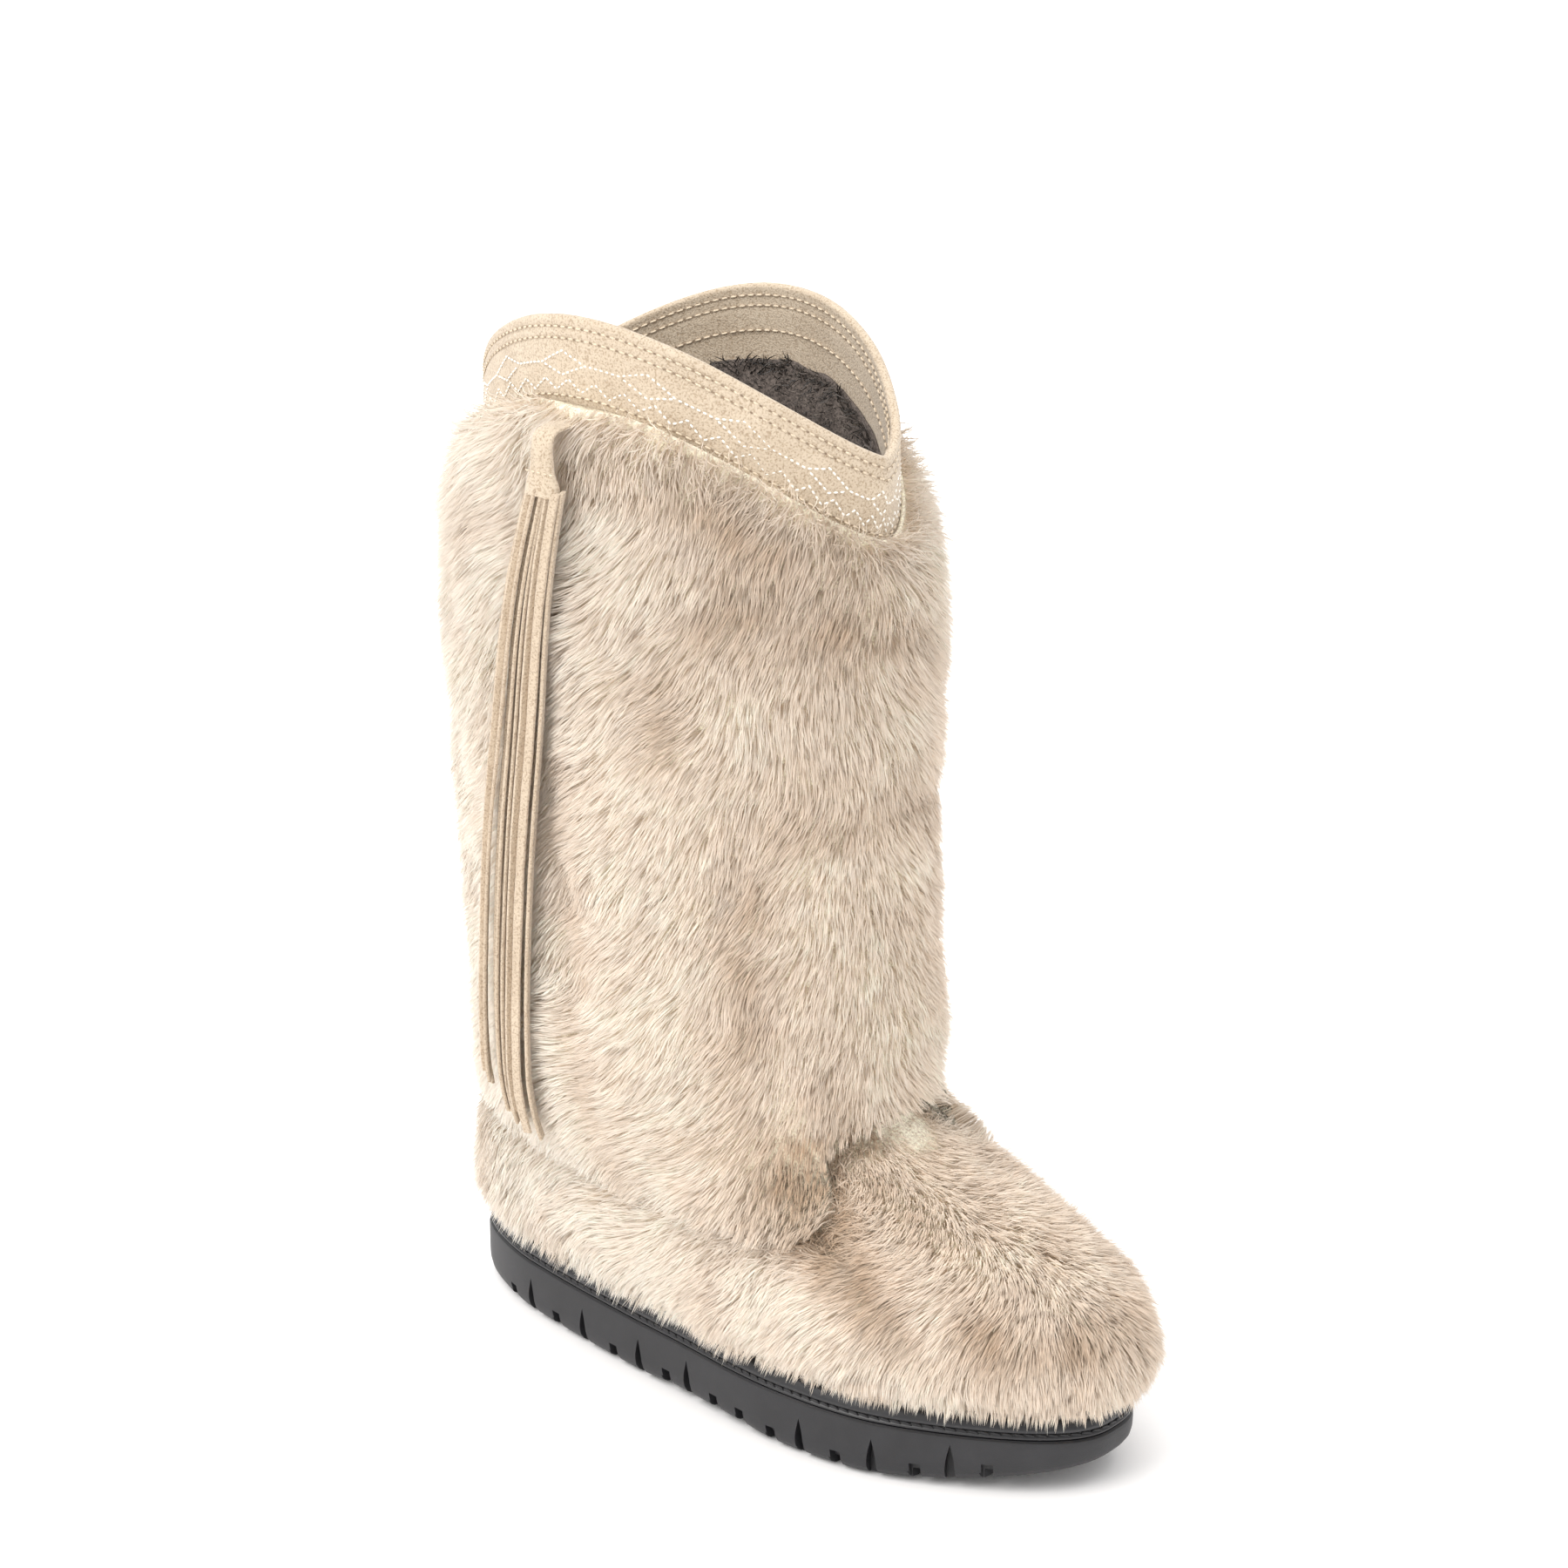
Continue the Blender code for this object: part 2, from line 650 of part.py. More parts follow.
def build_tassel(parent):
    """The folded suede tab and the long strips that hang from it."""
    path, across = tassel_line()
    flare = TAB_WIDTH + TAB_FLARE
    widths = [TAB_WIDTH, TAB_WIDTH, TAB_WIDTH, TAB_WIDTH, (TAB_WIDTH + flare) / 2, flare]
    thin, thick = STRAP_THICKNESS, TAB_THICKNESS
    depths = [thin, thin, thin * 1.3, thick * 0.6, thick * 0.8, thick]
    points, faces = sweep(path, widths, depths, across)
    add_piece("tassel_tab", points, faces, SUEDE, parent)

    x, z = path[-1][0], path[-1][2] - GAP * 2
    middle = TAB_THICKNESS / 2
    head = [on_fur(x, z, middle), on_fur(x, z - STRIP_WIDTH, middle)]
    wide, deep = flare * HEAD_WIDTH_SHARE, TAB_THICKNESS * HEAD_THICKNESS_SHARE
    points, faces = sweep(head, [wide] * 2, [deep] * 2, across)
    fringe = add_piece("tassel_fringe", points, faces, SUEDE, parent)
    for i, (side, depth, drift, bow, length) in enumerate(STRIP_TABLE):
        strip_path = []
        for t in np.linspace(0, 1, STRIP_POINTS):
            shift = side * STRIP_SPACING * (1 + STRIP_FAN * t) + drift * t * t / 2
            shift += bow * math.sin(math.pi * t)
            low = z - STRIP_WIDTH * 0.35 - t * STRIP_LENGTH * length
            lift = middle + STRIP_THICKNESS * depth * (0.8 + 0.2 * t)
            lean = TASSEL_LEAN * (1 - (1 - t) ** 1.6)
            strip_path.append(on_fur(x + shift * STRIP_WIDTH - lean, low, lift))
        n = len(strip_path)
        points, faces = sweep(strip_path, [STRIP_WIDTH] * n, [STRIP_THICKNESS] * n, across)
        strip = hide(add_piece(f"strip_{i}", points, faces, SUEDE, parent))
        join = fringe.modifiers.new(strip.name, "BOOLEAN")
        join.operation = "UNION"
        join.solver = "EXACT"
        join.object = strip


def main():
    for item in list(bpy.data.objects):
        bpy.data.objects.remove(item)
    boot = bpy.data.objects.new("boot", None)
    bpy.context.scene.collection.objects.link(boot)
    boot.location = (-HEEL_SHARE * SOLE_LENGTH, 0.0, 0.0)
    build_outsole(boot)
    build_rand(boot)
    build_insole(boot)
    build_upper(boot)
    build_collar(boot)
    build_fur(boot)
    build_tassel(boot)


main()
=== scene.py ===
"""Looks of a tall fur mukluk boot: its hair, suede, stitching, pile and rubber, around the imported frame.

Every curved piece follows one of two surfaces, as the frame's solids do: the outline of the sole and
the skin of the last. Their functions work in the sole's own frame, with x from the sole's back, and
to_frame moves the finished points to the frame's origin under the heel. An angle runs around the boot:
0 is the back of the heel, pi/2 the inner side, pi the toe and 3 pi/2 the outer side.
"""

import itertools
import math

import bmesh
import bpy
import numpy as np
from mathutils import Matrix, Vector, kdtree

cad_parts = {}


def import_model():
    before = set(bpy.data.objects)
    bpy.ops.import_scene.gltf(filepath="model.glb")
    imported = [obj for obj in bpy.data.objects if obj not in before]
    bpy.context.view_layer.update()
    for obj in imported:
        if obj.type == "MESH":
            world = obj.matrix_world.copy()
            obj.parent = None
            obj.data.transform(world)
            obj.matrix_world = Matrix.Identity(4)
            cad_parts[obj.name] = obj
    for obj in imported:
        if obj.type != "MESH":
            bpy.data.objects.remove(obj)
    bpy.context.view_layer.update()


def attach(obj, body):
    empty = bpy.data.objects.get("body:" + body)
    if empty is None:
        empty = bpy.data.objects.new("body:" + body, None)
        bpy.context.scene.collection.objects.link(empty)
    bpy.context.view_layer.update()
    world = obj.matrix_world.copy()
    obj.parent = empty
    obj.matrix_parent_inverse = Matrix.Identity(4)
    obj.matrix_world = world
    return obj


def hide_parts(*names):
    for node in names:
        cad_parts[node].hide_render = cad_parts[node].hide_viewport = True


# The camera, in the frame
CAMERA_TARGET = (0.0965, 0.0, 0.17)
CAMERA_AZIMUTH = 39.64
CAMERA_ELEVATION = 22.9
CAMERA_DISTANCE = 1.6
CAMERA_LENS = 102.27
CAMERA_SHIFT = (0.0028, 0.1013)

# Sizes of the sole and the upper, as in the solids
SOLE_LENGTH = 0.290
BALL_WIDTH = 0.100
HEEL_WIDTH = 0.074
TOE_SWING = 0.006
SOLE_ROUND = 0.75
SOLE_THICKNESS = 0.0225
TOE_SPRING = 0.0105
ARCH_RISE = 0.0015
EDGE_ROUND = 0.007
HEEL_SHARE = 0.15
LAST_INSET = 0.0085
INSTEP_HEIGHT = 0.100
SHAFT_HEIGHT = 0.276
SHAFT_WIDTH = 0.1135
SHAFT_SHIFT = 0.0025
WALL = 0.0030
GAP = 0.0003
RAND_HEIGHT = 0.0075
RAND_STEP = 0.0013
RAND_SLOPE = 0.0035
INSOLE_THICKNESS = 0.006
INSOLE_CLEARANCE = 0.0008
RIM_RISE = 0.021
RIM_TILT = 0.0055
RIM_LEAN = 0.0025
COLLAR_HEIGHT = 0.044
COLLAR_SHOWN = 0.029
COLLAR_WALL = 0.0036
FUR_DEPTH = 0.0155
FUR_FLARE = 0.0030
FUR_LIFT = 0.0050

# Sizes of the tread's channels, notches and ticks
CHANNEL_WIDTH = 0.0036
CHANNEL_DEPTH = 0.0042
NOTCH_WIDTH = 0.0038
NOTCH_HEIGHT = 0.0160
NOTCH_DEPTH = 0.0050
TICK_WIDTH = 0.0042
TICK_HEIGHT = 0.0078

# Sizes of the tassel. Its strips hang a little further back and longer, lie further apart, and stand
# further off the fur than in the solids, and the fur dips less for its strap.
TASSEL_REACH = 0.100
TASSEL_LEAN = 0.034
TAB_WIDTH = 0.0085
TAB_FLARE = 0.0060
TAB_LENGTH = 0.022
TAB_THICKNESS = 0.0045
STRAP_THICKNESS = 0.0016
STRAP_RISE = 0.0028
STRIP_LENGTH = 0.249
STRIP_WIDTH = 0.0042
STRIP_THICKNESS = 0.0013
STRIP_SPACING = 0.90
STRIP_FAN = 0.25
STRIP_POINTS = 40
STRAP_SINK = 0.0065
STRAP_DIP = 0.001
STRAP_DIP_SPREAD = 0.16
TASSEL_CLEARANCE = 0.0030

# Sizes of the hair: the edge heights are where it grows from short to full, and the strap's cover
# is an angle
HAIR_WIDTH = 0.00040
HAIR_REACH = 0.0082
HAIR_ROOT = 0.0075
COAT_DEPTH = 0.0090
STRAND_SIZE = 0.0021
LOCK_SIZE = 0.0058
TUFT_SIZE = 0.0150
SHAFT_HAIRS = 152000
FOOT_HAIRS = 72000
PIECE_HAIRS = 60000
TOP_EDGE_HEIGHT = 0.018
LOW_EDGE_HEIGHT = 0.016
STRAP_COVER = 0.13
STRAP_COVER_SHARE = 0.9

# Hair at the edges: shares of the full depth, root and reach that are left, how ragged and how
# much shorter the low edge is, and how much a bare stretch takes off
TOP_STAND = 0.45
TOP_ROOT = 0.3
LOW_REACH = 0.50
LEAST_REACH = 0.12
RAGGED_SHARE = 0.45
RAGGED_SIZE = 0.009
LOW_CUT = 0.12
BARE_CUT = 0.45

# How hair lies: sunk below the solids' surface, uneven, arched, combed away from it, loose and
# rolled, and how far it is pulled to its lock's tip, and each lock to the next larger one's
HAIR_SINK = 0.0016
HAIR_UNEVEN = 0.0014
HAIR_ARCH = 0.0022
HAIR_OUTWARD = 0.30
HAIR_LOOSE = 0.26
HAIR_ROLL = 0.9
HAIR_PULL = 0.60
LOCK_PULLS = ((LOCK_SIZE, 0.22), (STRAND_SIZE, 0.30))
LOCK_TONE = 0.035
HAIR_TONE = 0.045

# Layers of smooth noise in the fur: how high its lumps are, how tan its clouds and speckles are,
# and how far its swirls turn it, each with a size and a seed
FUR_LUMPS = ((0.0016, 0.030, 3), (0.0014, 0.013, 4))
COAT_LUMPS = ((0.0005, 0.0022, 9), (0.0006, 0.005, 10))
TAN_CLOUDS = ((0.20, 0.022, 5), (0.14, 0.008, 6))
TAN_SPECKLES = ((0.5, 0.007, 7),)
SHAFT_SWIRLS = ((0.60, 0.045, 11), (0.55, 0.017, 12))
FOOT_SWIRLS = ((0.9, 0.035, 13), (0.5, 0.015, 14))
SHAFT_LEAN = 0.62
FOOT_LEAN = 0.75
# Painted shade: how much the fur is tanned towards the toe
FRONT_SHADE = 0.12

# Sizes of the lining
LINING_HAIRS = 20000
LINING_HAIR = 0.0055
LINING_DEPTH = 0.0045
LINING_SHOWN = 0.027
LINING_REACH = 0.105
LINING_EDGE = 0.0008
LINING_LUMPS = ((0.0010, 0.012, 51), (0.0006, 0.005, 52))

# Sizes of the stitches, and of the pattern's and the rand's
STITCH_LENGTH = 0.0025
STITCH_WIDTH = 0.0008
STITCH_PITCH = 0.0036
PATTERN_LENGTH = 0.0015
PATTERN_WIDTH = 0.0008
PATTERN_PITCH = 0.0023
TAB_STITCH_LENGTH = 0.0015
TAB_STITCH_WIDTH = 0.0007
RAND_STITCH_LENGTH = 0.0039
RAND_STITCH_WIDTH = 0.0013
RAND_STITCH_PITCH = 0.0040

# Rows of stitches: the drop below the collar's rim, and how far out of its face, in or out
STITCH_ROWS = (
    ("stitch_rim_row", 0.0040, 0.00002),
    ("stitch_second_row", 0.0080, 0.00002),
    ("stitch_lower_row", 0.0278, 0.0003),
    ("stitch_inner_rim_row", 0.0042, -COLLAR_WALL - 0.0001),
    ("stitch_inner_second_row", 0.0080, -COLLAR_WALL - 0.0001),
    ("stitch_inner_curve", 0.0170, -COLLAR_WALL - 0.0004),
)
DENTED_DROPS = (0.004, 0.008)
DENT_DEPTH = 0.0004
DENT_WIDTH = 0.0009

# The collar's pattern: how many there are around, their half height and their drop
DIAMONDS = 16
DIAMOND_HEIGHT = 0.0042
DIAMOND_DROP = 0.0165
DIAMOND_APART = 0.14
ZIGZAGS = 48
ZIGZAG_HEIGHT = 0.0020
ZIGZAG_DROP = 0.0240

SOLE_COLUMNS = ("along", "heel_part", "outer", "inner")
SOLE_TABLE = (
    (0.00, 1.00, 0.485, 0.485),
    (0.15, 1.00, 0.555, 0.515),
    (0.42, 0.60, 0.535, 0.450),
    (0.62, 0.15, 0.550, 0.480),
    (0.74, 0.00, 0.550, 0.520),
    (0.88, 0.00, 0.500, 0.520),
    (1.00, 0.00, 0.440, 0.460),
)

LAST_COLUMNS = ("instep", "shaft", "back", "front", "width", "foot", "girth", "round")
LAST_TABLE = (
    (0.00, 0.00, 0.034, 0.966, 0.86, 1.00, 1.000, 0.76),
    (0.10, 0.00, 0.036, 0.980, 0.86, 1.00, 1.030, 0.76),
    (0.22, 0.00, 0.038, 0.988, 0.86, 0.98, 1.050, 0.77),
    (0.36, 0.00, 0.042, 0.976, 0.86, 0.94, 1.050, 0.80),
    (0.50, 0.00, 0.048, 0.918, 0.88, 0.84, 1.020, 0.84),
    (0.62, 0.00, 0.053, 0.826, 0.89, 0.68, 1.000, 0.88),
    (0.74, 0.00, 0.056, 0.726, 0.90, 0.44, 1.000, 0.92),
    (0.86, 0.00, 0.059, 0.664, 0.91, 0.20, 1.000, 0.96),
    (1.00, 0.00, 0.060, 0.646, 0.92, 0.06, 1.000, 1.00),
    (1.00, 0.14, 0.058, 0.642, 0.93, 0.00, 1.000, 1.02),
    (1.00, 0.40, 0.042, 0.630, 0.96, 0.00, 1.000, 1.06),
    (1.00, 0.70, 0.030, 0.634, 0.99, 0.00, 1.000, 1.25),
    (1.00, 1.00, 0.022, 0.642, 1.00, 0.00, 1.000, 1.50),
    (1.00, 1.20, 0.020, 0.642, 1.00, 0.00, 1.000, 1.55),
)

SEAM_TABLE = (
    (0.00, 0.66),
    (0.25, 0.60),
    (0.36, 0.62),
    (0.43, 0.84),
    (0.50, 0.98),
    (0.56, 0.92),
    (0.63, 0.66),
    (0.70, 0.58),
    (0.82, 0.62),
    (1.00, 0.66),
)

NOTCHES = (0.150, 0.259, 0.370, 0.462, 0.660, 0.763, 0.856)
TICKS = (0.102, 0.199, 0.316, 0.418, 0.508, 0.556, 0.610, 0.710, 0.812, 0.893)

# The tab along its run: the run's share, shares of its width and its flare, and its thickness
TAB_TABLE = (
    (0.00, 1.00, 0.00, STRAP_THICKNESS),
    (0.45, 1.00, 0.00, STRAP_THICKNESS * 1.2),
    (0.60, 1.02, 0.00, TAB_THICKNESS * 0.6),
    (0.80, 1.15, 0.00, TAB_THICKNESS * 0.7),
    (0.90, 1.00, 0.75, TAB_THICKNESS * 0.95),
    (1.00, 1.00, 1.00, TAB_THICKNESS * 1.05),
)

# The tassel's strips: place across, place towards the boot, drift, bow, length share and twist
STRIP_TABLE = (
    (-1.45, 0.0, -1.0, -0.9, 0.955, 10),
    (-1.10, 1.0, -1.2, -0.7, 0.935, -35),
    (-0.75, 1.3, -1.5, -0.5, 0.945, 50),
    (-0.50, -1.3, -0.3, -0.8, 0.985, -20),
    (-0.15, 0.6, 0.0, -0.5, 0.975, 60),
    (0.05, -0.2, 0.2, -0.3, 0.990, 65),
    (0.30, -1.4, 0.5, 0.1, 1.000, 25),
    (0.55, 0.5, 0.6, 0.2, 0.970, -60),
    (0.85, 0.0, 0.8, 0.3, 0.992, 40),
    (1.15, 1.5, 1.0, 0.5, 0.988, -10),
    (1.45, -0.9, 1.3, 0.6, 1.000, 70),
)

# Lumps and troughs, listed one by one: angle in degrees, share of the height, half size around and up in
# metres, height in metres, and turn in degrees from upright towards larger angles
FORM_COLUMNS = ("angle", "share", "wide", "tall", "rise", "turn")
SHAFT_FORMS = (
    (273, 0.36, 0.0065, 0.085, -0.0050, 2),
    (276, 0.84, 0.0070, 0.050, -0.0025, 6),
    (232, 0.42, 0.0060, 0.045, -0.0042, -14),
    (222, 0.24, 0.0070, 0.040, -0.0038, 10),
    (254, 0.34, 0.0140, 0.050, 0.0024, 0),
    (240, 0.62, 0.0100, 0.022, 0.0022, -35),
    (205, 0.40, 0.0120, 0.050, 0.0020, 0),
    (168, 0.56, 0.0300, 0.006, -0.0040, 0),
    (200, 0.74, 0.0160, 0.008, -0.0022, 70),
    (222, 0.80, 0.0100, 0.014, 0.0020, 30),
    (190, 0.90, 0.0140, 0.012, 0.0026, 0),
    (300, 0.70, 0.0100, 0.040, 0.0016, 10),
    (312, 0.30, 0.0090, 0.050, -0.0020, 0),
    (345, 0.55, 0.0140, 0.050, 0.0018, 15),
    (90, 0.40, 0.0100, 0.060, -0.0030, 10),
    (115, 0.62, 0.0120, 0.040, 0.0022, -20),
    (60, 0.66, 0.0140, 0.040, 0.0022, 20),
    (35, 0.30, 0.0090, 0.050, -0.0026, -10),
    (10, 0.75, 0.0120, 0.030, 0.0018, 0),
)
FOOT_FORMS = (
    (200, 0.98, 0.0600, 0.006, -0.0040, 0),
    (165, 0.80, 0.0700, 0.040, -0.0055, 0),
    (231, 0.80, 0.0055, 0.022, -0.0060, 12),
    (222, 0.74, 0.0070, 0.020, 0.0030, 12),
    (244, 0.70, 0.0120, 0.014, 0.0020, 0),
    (205, 0.50, 0.0100, 0.016, 0.0024, 0),
    (196, 0.30, 0.0150, 0.005, -0.0034, 80),
    (180, 0.30, 0.0140, 0.010, 0.0022, 0),
    (186, 0.66, 0.0120, 0.006, -0.0022, 60),
    (250, 0.40, 0.0200, 0.010, 0.0018, 0),
    (285, 0.45, 0.0200, 0.010, 0.0020, 0),
    (330, 0.50, 0.0160, 0.012, 0.0020, 0),
    (140, 0.55, 0.0120, 0.016, -0.0030, -30),
    (120, 0.40, 0.0160, 0.012, 0.0024, 0),
    (60, 0.50, 0.0200, 0.010, 0.0020, 0),
)

# Stretches of the foot's lower edge where the hair is short and the suede shows, and how far the
# hair is tucked in there
BARE_EDGES = (
    (226, 0.0, 0.046, 0.030, 1.5, 0),
    (252, 0.0, 0.016, 0.030, 1.2, 0),
    (130, 0.0, 0.046, 0.030, 1.3, 0),
)
LOW_TUCK = 0.62

# Darker tan patches, placed as the lumps are: the fifth value is how strong the patch is. The patches in
# the troughs and creases and along the seam are painted shade, and the one beside the tassel is its
# painted shadow; the others are tan in the fur
PATCH_COLUMNS = ("angle", "share", "wide", "tall", "strength", "turn")
SHAFT_TAN_AND_SHADE_PATCHES = (
    (200, 0.86, 0.030, 0.020, 0.55, 20),
    (228, 0.84, 0.020, 0.012, 0.45, 20),
    # painted shade in a trough
    (226, 0.36, 0.009, 0.050, 0.55, -6),
    (205, 0.52, 0.022, 0.010, 0.30, 0),
    (242, 0.66, 0.010, 0.018, 0.35, -20),
    # painted shadow of the tassel, in the trough beside it
    (270, 0.40, 0.007, 0.080, 0.35, 0),
    # painted shade in the crease across the front
    (170, 0.56, 0.030, 0.008, 0.35, 0),
    (150, 0.70, 0.030, 0.040, 0.30, 0),
    (110, 0.50, 0.020, 0.050, 0.35, 10),
    (222, 0.03, 0.022, 0.020, 0.95, 0),
    (228, 0.95, 0.032, 0.010, 0.50, 0),
    (30, 0.55, 0.020, 0.040, 0.25, 0),
)
FOOT_TAN_AND_SHADE_PATCHES = (
    # painted shade along the seam, under the overhanging fur of the shaft
    (200, 0.96, 0.060, 0.005, 0.85, 0),
    (230, 0.92, 0.020, 0.014, 1.00, 0),
    (233, 0.66, 0.009, 0.018, 0.95, 20),
    (214, 0.46, 0.010, 0.012, 0.55, 20),
    # painted shade in a trough
    (197, 0.31, 0.020, 0.004, 0.85, 0),
    (205, 0.74, 0.010, 0.020, 0.35, 0),
    (182, 0.72, 0.024, 0.030, 0.28, 0),
    (150, 0.50, 0.020, 0.020, 0.45, 0),
    (100, 0.50, 0.030, 0.012, 0.30, 0),
)

# Colours, linear
HAIR_TIP = (0.975, 0.900, 0.810)
HAIR_PALE = (0.980, 0.935, 0.870)
# Tan of the fur, also used for its painted shade
HAIR_TAN_AND_SHADE = (0.680, 0.510, 0.360)
HAIR_BASE = (0.940, 0.800, 0.650)
COAT_COLOUR = (0.880, 0.740, 0.590)
SUEDE_COLOUR = (0.660, 0.557, 0.432)
SUEDE_SHADE = (0.440, 0.342, 0.242)
STRIP_COLOUR = (0.640, 0.530, 0.405)
STRIP_SHADE = (0.430, 0.330, 0.235)
THREAD_COLOUR = (0.700, 0.590, 0.450)
DECOR_COLOUR = (0.930, 0.900, 0.840)
# Painted shade in the stitch holes
HOLE_SHADE_COLOUR = (0.260, 0.190, 0.130)
PILE_TIP = (0.330, 0.285, 0.255)
PILE_BASE = (0.120, 0.098, 0.086)
RUBBER_COLOUR = (0.012, 0.012, 0.014)
RAND_COLOUR = (0.010, 0.010, 0.012)
FLOOR_COLOUR = (0.985, 0.978, 0.978)
WORLD_COLOUR = (1.0, 0.99, 0.98)

# The lights: the world's strength, and each sun's azimuth, elevation, strength, spread and colour
WORLD_STRENGTH = 1.00
SUNS = (
    ("key", -18, 46, 1.72, 40, (1.0, 0.985, 0.965)),
    ("top", 60, 84, 1.32, 60, (1.0, 1.0, 1.0)),
)


def ease(t):
    """A smooth step from 0 to 1."""
    t = np.clip(t, 0.0, 1.0)
    return t * t * (3 - 2 * t)


def follow(places, values, at):
    """A smooth curve through the values at the places, with no overshoot at flat stretches."""
    places = np.asarray(places, float)
    values = np.asarray(values, float)
    at = np.clip(at, places[0], places[-1])
    steps = np.diff(places)
    rises = np.diff(values) / steps
    slopes = np.zeros(len(values))
    slopes[0], slopes[-1] = rises[0], rises[-1]
    for i in range(1, len(values) - 1):
        if rises[i - 1] * rises[i] > 0:
            slopes[i] = 2 / (1 / rises[i - 1] + 1 / rises[i])
    i = np.clip(np.searchsorted(places, at, side="right") - 1, 0, len(steps) - 1)
    h = steps[i]
    t = (at - places[i]) / h
    return (
        values[i] * (1 + 2 * t) * (1 - t) ** 2
        + slopes[i] * h * t * (1 - t) ** 2
        + values[i + 1] * t * t * (3 - 2 * t)
        + slopes[i + 1] * h * t * t * (t - 1)
    )


def column(table, names, name):
    return [row[names.index(name)] for row in table]


def around(count):
    """Evenly spaced angles around the boot."""
    return np.arange(count) * 2 * math.pi / count


def plan_half_width(share, inner):
    """The sole's half width at a share of its length, on the inner or the outer side."""
    places = column(SOLE_TABLE, SOLE_COLUMNS, "along")

    def at(name):
        return follow(places, column(SOLE_TABLE, SOLE_COLUMNS, name), share)

    width = at("heel_part") * HEEL_WIDTH + (1 - at("heel_part")) * BALL_WIDTH
    return width * np.where(inner, at("inner"), at("outer"))


def swing(share):
    """How far the foot's middle line lies towards the inner side."""
    return TOE_SWING * np.clip((share - 0.6) / 0.4, 0, 1) ** 2


def sole_plan(angle, inset=0.0):
    """Points on the sole's outline, moved inwards by inset."""

    def raw(a):
        share = (1 - np.cos(a)) / 2
        side = np.sin(a)
        half = plan_half_width(share, side > 0)
        y = np.sign(side) * half * np.abs(side) ** SOLE_ROUND + swing(share)
        return share * SOLE_LENGTH, y

    step = 1e-3
    x, y = raw(angle)
    x1, y1 = raw(angle + step)
    x0, y0 = raw(angle - step)
    dx, dy = x1 - x0, y1 - y0
    length = np.hypot(dx, dy)
    return x + dy / length * inset, y - dx / length * inset


def last_levels():
    """The height of each row of the last's table."""
    instep = np.array(column(LAST_TABLE, LAST_COLUMNS, "instep"))
    shaft = np.array(column(LAST_TABLE, LAST_COLUMNS, "shaft"))
    return SOLE_THICKNESS + instep * INSTEP_HEIGHT + shaft * SHAFT_HEIGHT


def last_at(name, z):
    """A value of the last's table at a height."""
    return follow(last_levels(), column(LAST_TABLE, LAST_COLUMNS, name), z)


def last_plan(angle, z):
    """The last's skin, which is the outside of the upper, at an angle and a height."""
    side = np.sin(angle)
    back, front = last_at("back", z) * SOLE_LENGTH, last_at("front", z) * SOLE_LENGTH
    x = back + (front - back) * (1 - np.cos(angle)) / 2
    share = x / SOLE_LENGTH
    foot = (plan_half_width(share, side > 0) - LAST_INSET) * last_at("girth", z)
    shaft = last_at("width", z) * SHAFT_WIDTH / 2
    mix = last_at("foot", z)
    half = mix * foot + (1 - mix) * shaft
    middle = mix * swing(share) + (1 - mix) * SHAFT_SHIFT
    y = np.sign(side) * half * np.abs(side) ** last_at("round", z) + middle
    return np.stack(np.broadcast_arrays(x, y, z), axis=-1)


def unit(vectors):
    return vectors / np.linalg.norm(vectors, axis=-1, keepdims=True)


def skin_axes(angle, z):
    """At each place on the skin: the way out, the level way around, and the way up."""
    turn, rise = 2e-3, 5e-4
    along = last_plan(angle + turn, z) - last_plan(angle - turn, z)
    climb = last_plan(angle, z + rise) - last_plan(angle, z - rise)
    out = np.cross(climb, along)
    out[..., 2] *= ease((z - SOLE_THICKNESS) / (2 * RAND_HEIGHT) - 0.4)
    out = unit(out)
    along = unit(along)
    return out, along, np.cross(along, out)


def skin(angle, z, out):
    """The last's skin moved outwards by out, square to itself, and level near the sole."""
    angle, z = np.broadcast_arrays(np.asarray(angle, float), np.asarray(z, float))
    way = skin_axes(angle, z)[0]
    return last_plan(angle, z) + way * np.asarray(out)[..., None]


def rim_height(angle):
    """The collar's top edge: high at both sides, most of all the outer, low at front and back."""
    top = SOLE_THICKNESS + INSTEP_HEIGHT + SHAFT_HEIGHT
    tilt = RIM_TILT * np.sin(angle) + RIM_LEAN * np.cos(angle)
    return top - RIM_RISE * (1 + np.cos(2 * angle)) - tilt


def collar_foot(angle):
    """The collar's lower edge, hidden behind the fur."""
    return rim_height(angle) - COLLAR_HEIGHT


def outer_angle(x, z):
    """The angle on the outer side at which the last's skin has this x, at a height."""
    back, front = last_at("back", z) * SOLE_LENGTH, last_at("front", z) * SOLE_LENGTH
    return 2 * math.pi - np.arccos(1 - 2 * (x - back) / (front - back))


def tassel_angle():
    """The angle on the outer side at which the tassel hangs."""
    return float(outer_angle(TASSEL_REACH, SOLE_THICKNESS + INSTEP_HEIGHT + SHAFT_HEIGHT))


def near_strap(angle, spread):
    """How near an angle is to the tassel's strap, from 0 to 1 at the strap."""
    away = np.arctan2(np.sin(angle - tassel_angle()), np.cos(angle - tassel_angle()))
    return np.exp(-((away / spread) ** 2))


def fur_top(angle):
    """The fur's top edge, with a dip where the tassel's strap goes through."""
    return rim_height(angle) - COLLAR_SHOWN - STRAP_DIP * near_strap(angle, STRAP_DIP_SPREAD)


def fur_foot_edge(angle):
    """The lower edge of the foot's fur."""
    return SOLE_THICKNESS + RAND_HEIGHT + FUR_LIFT + 0 * angle


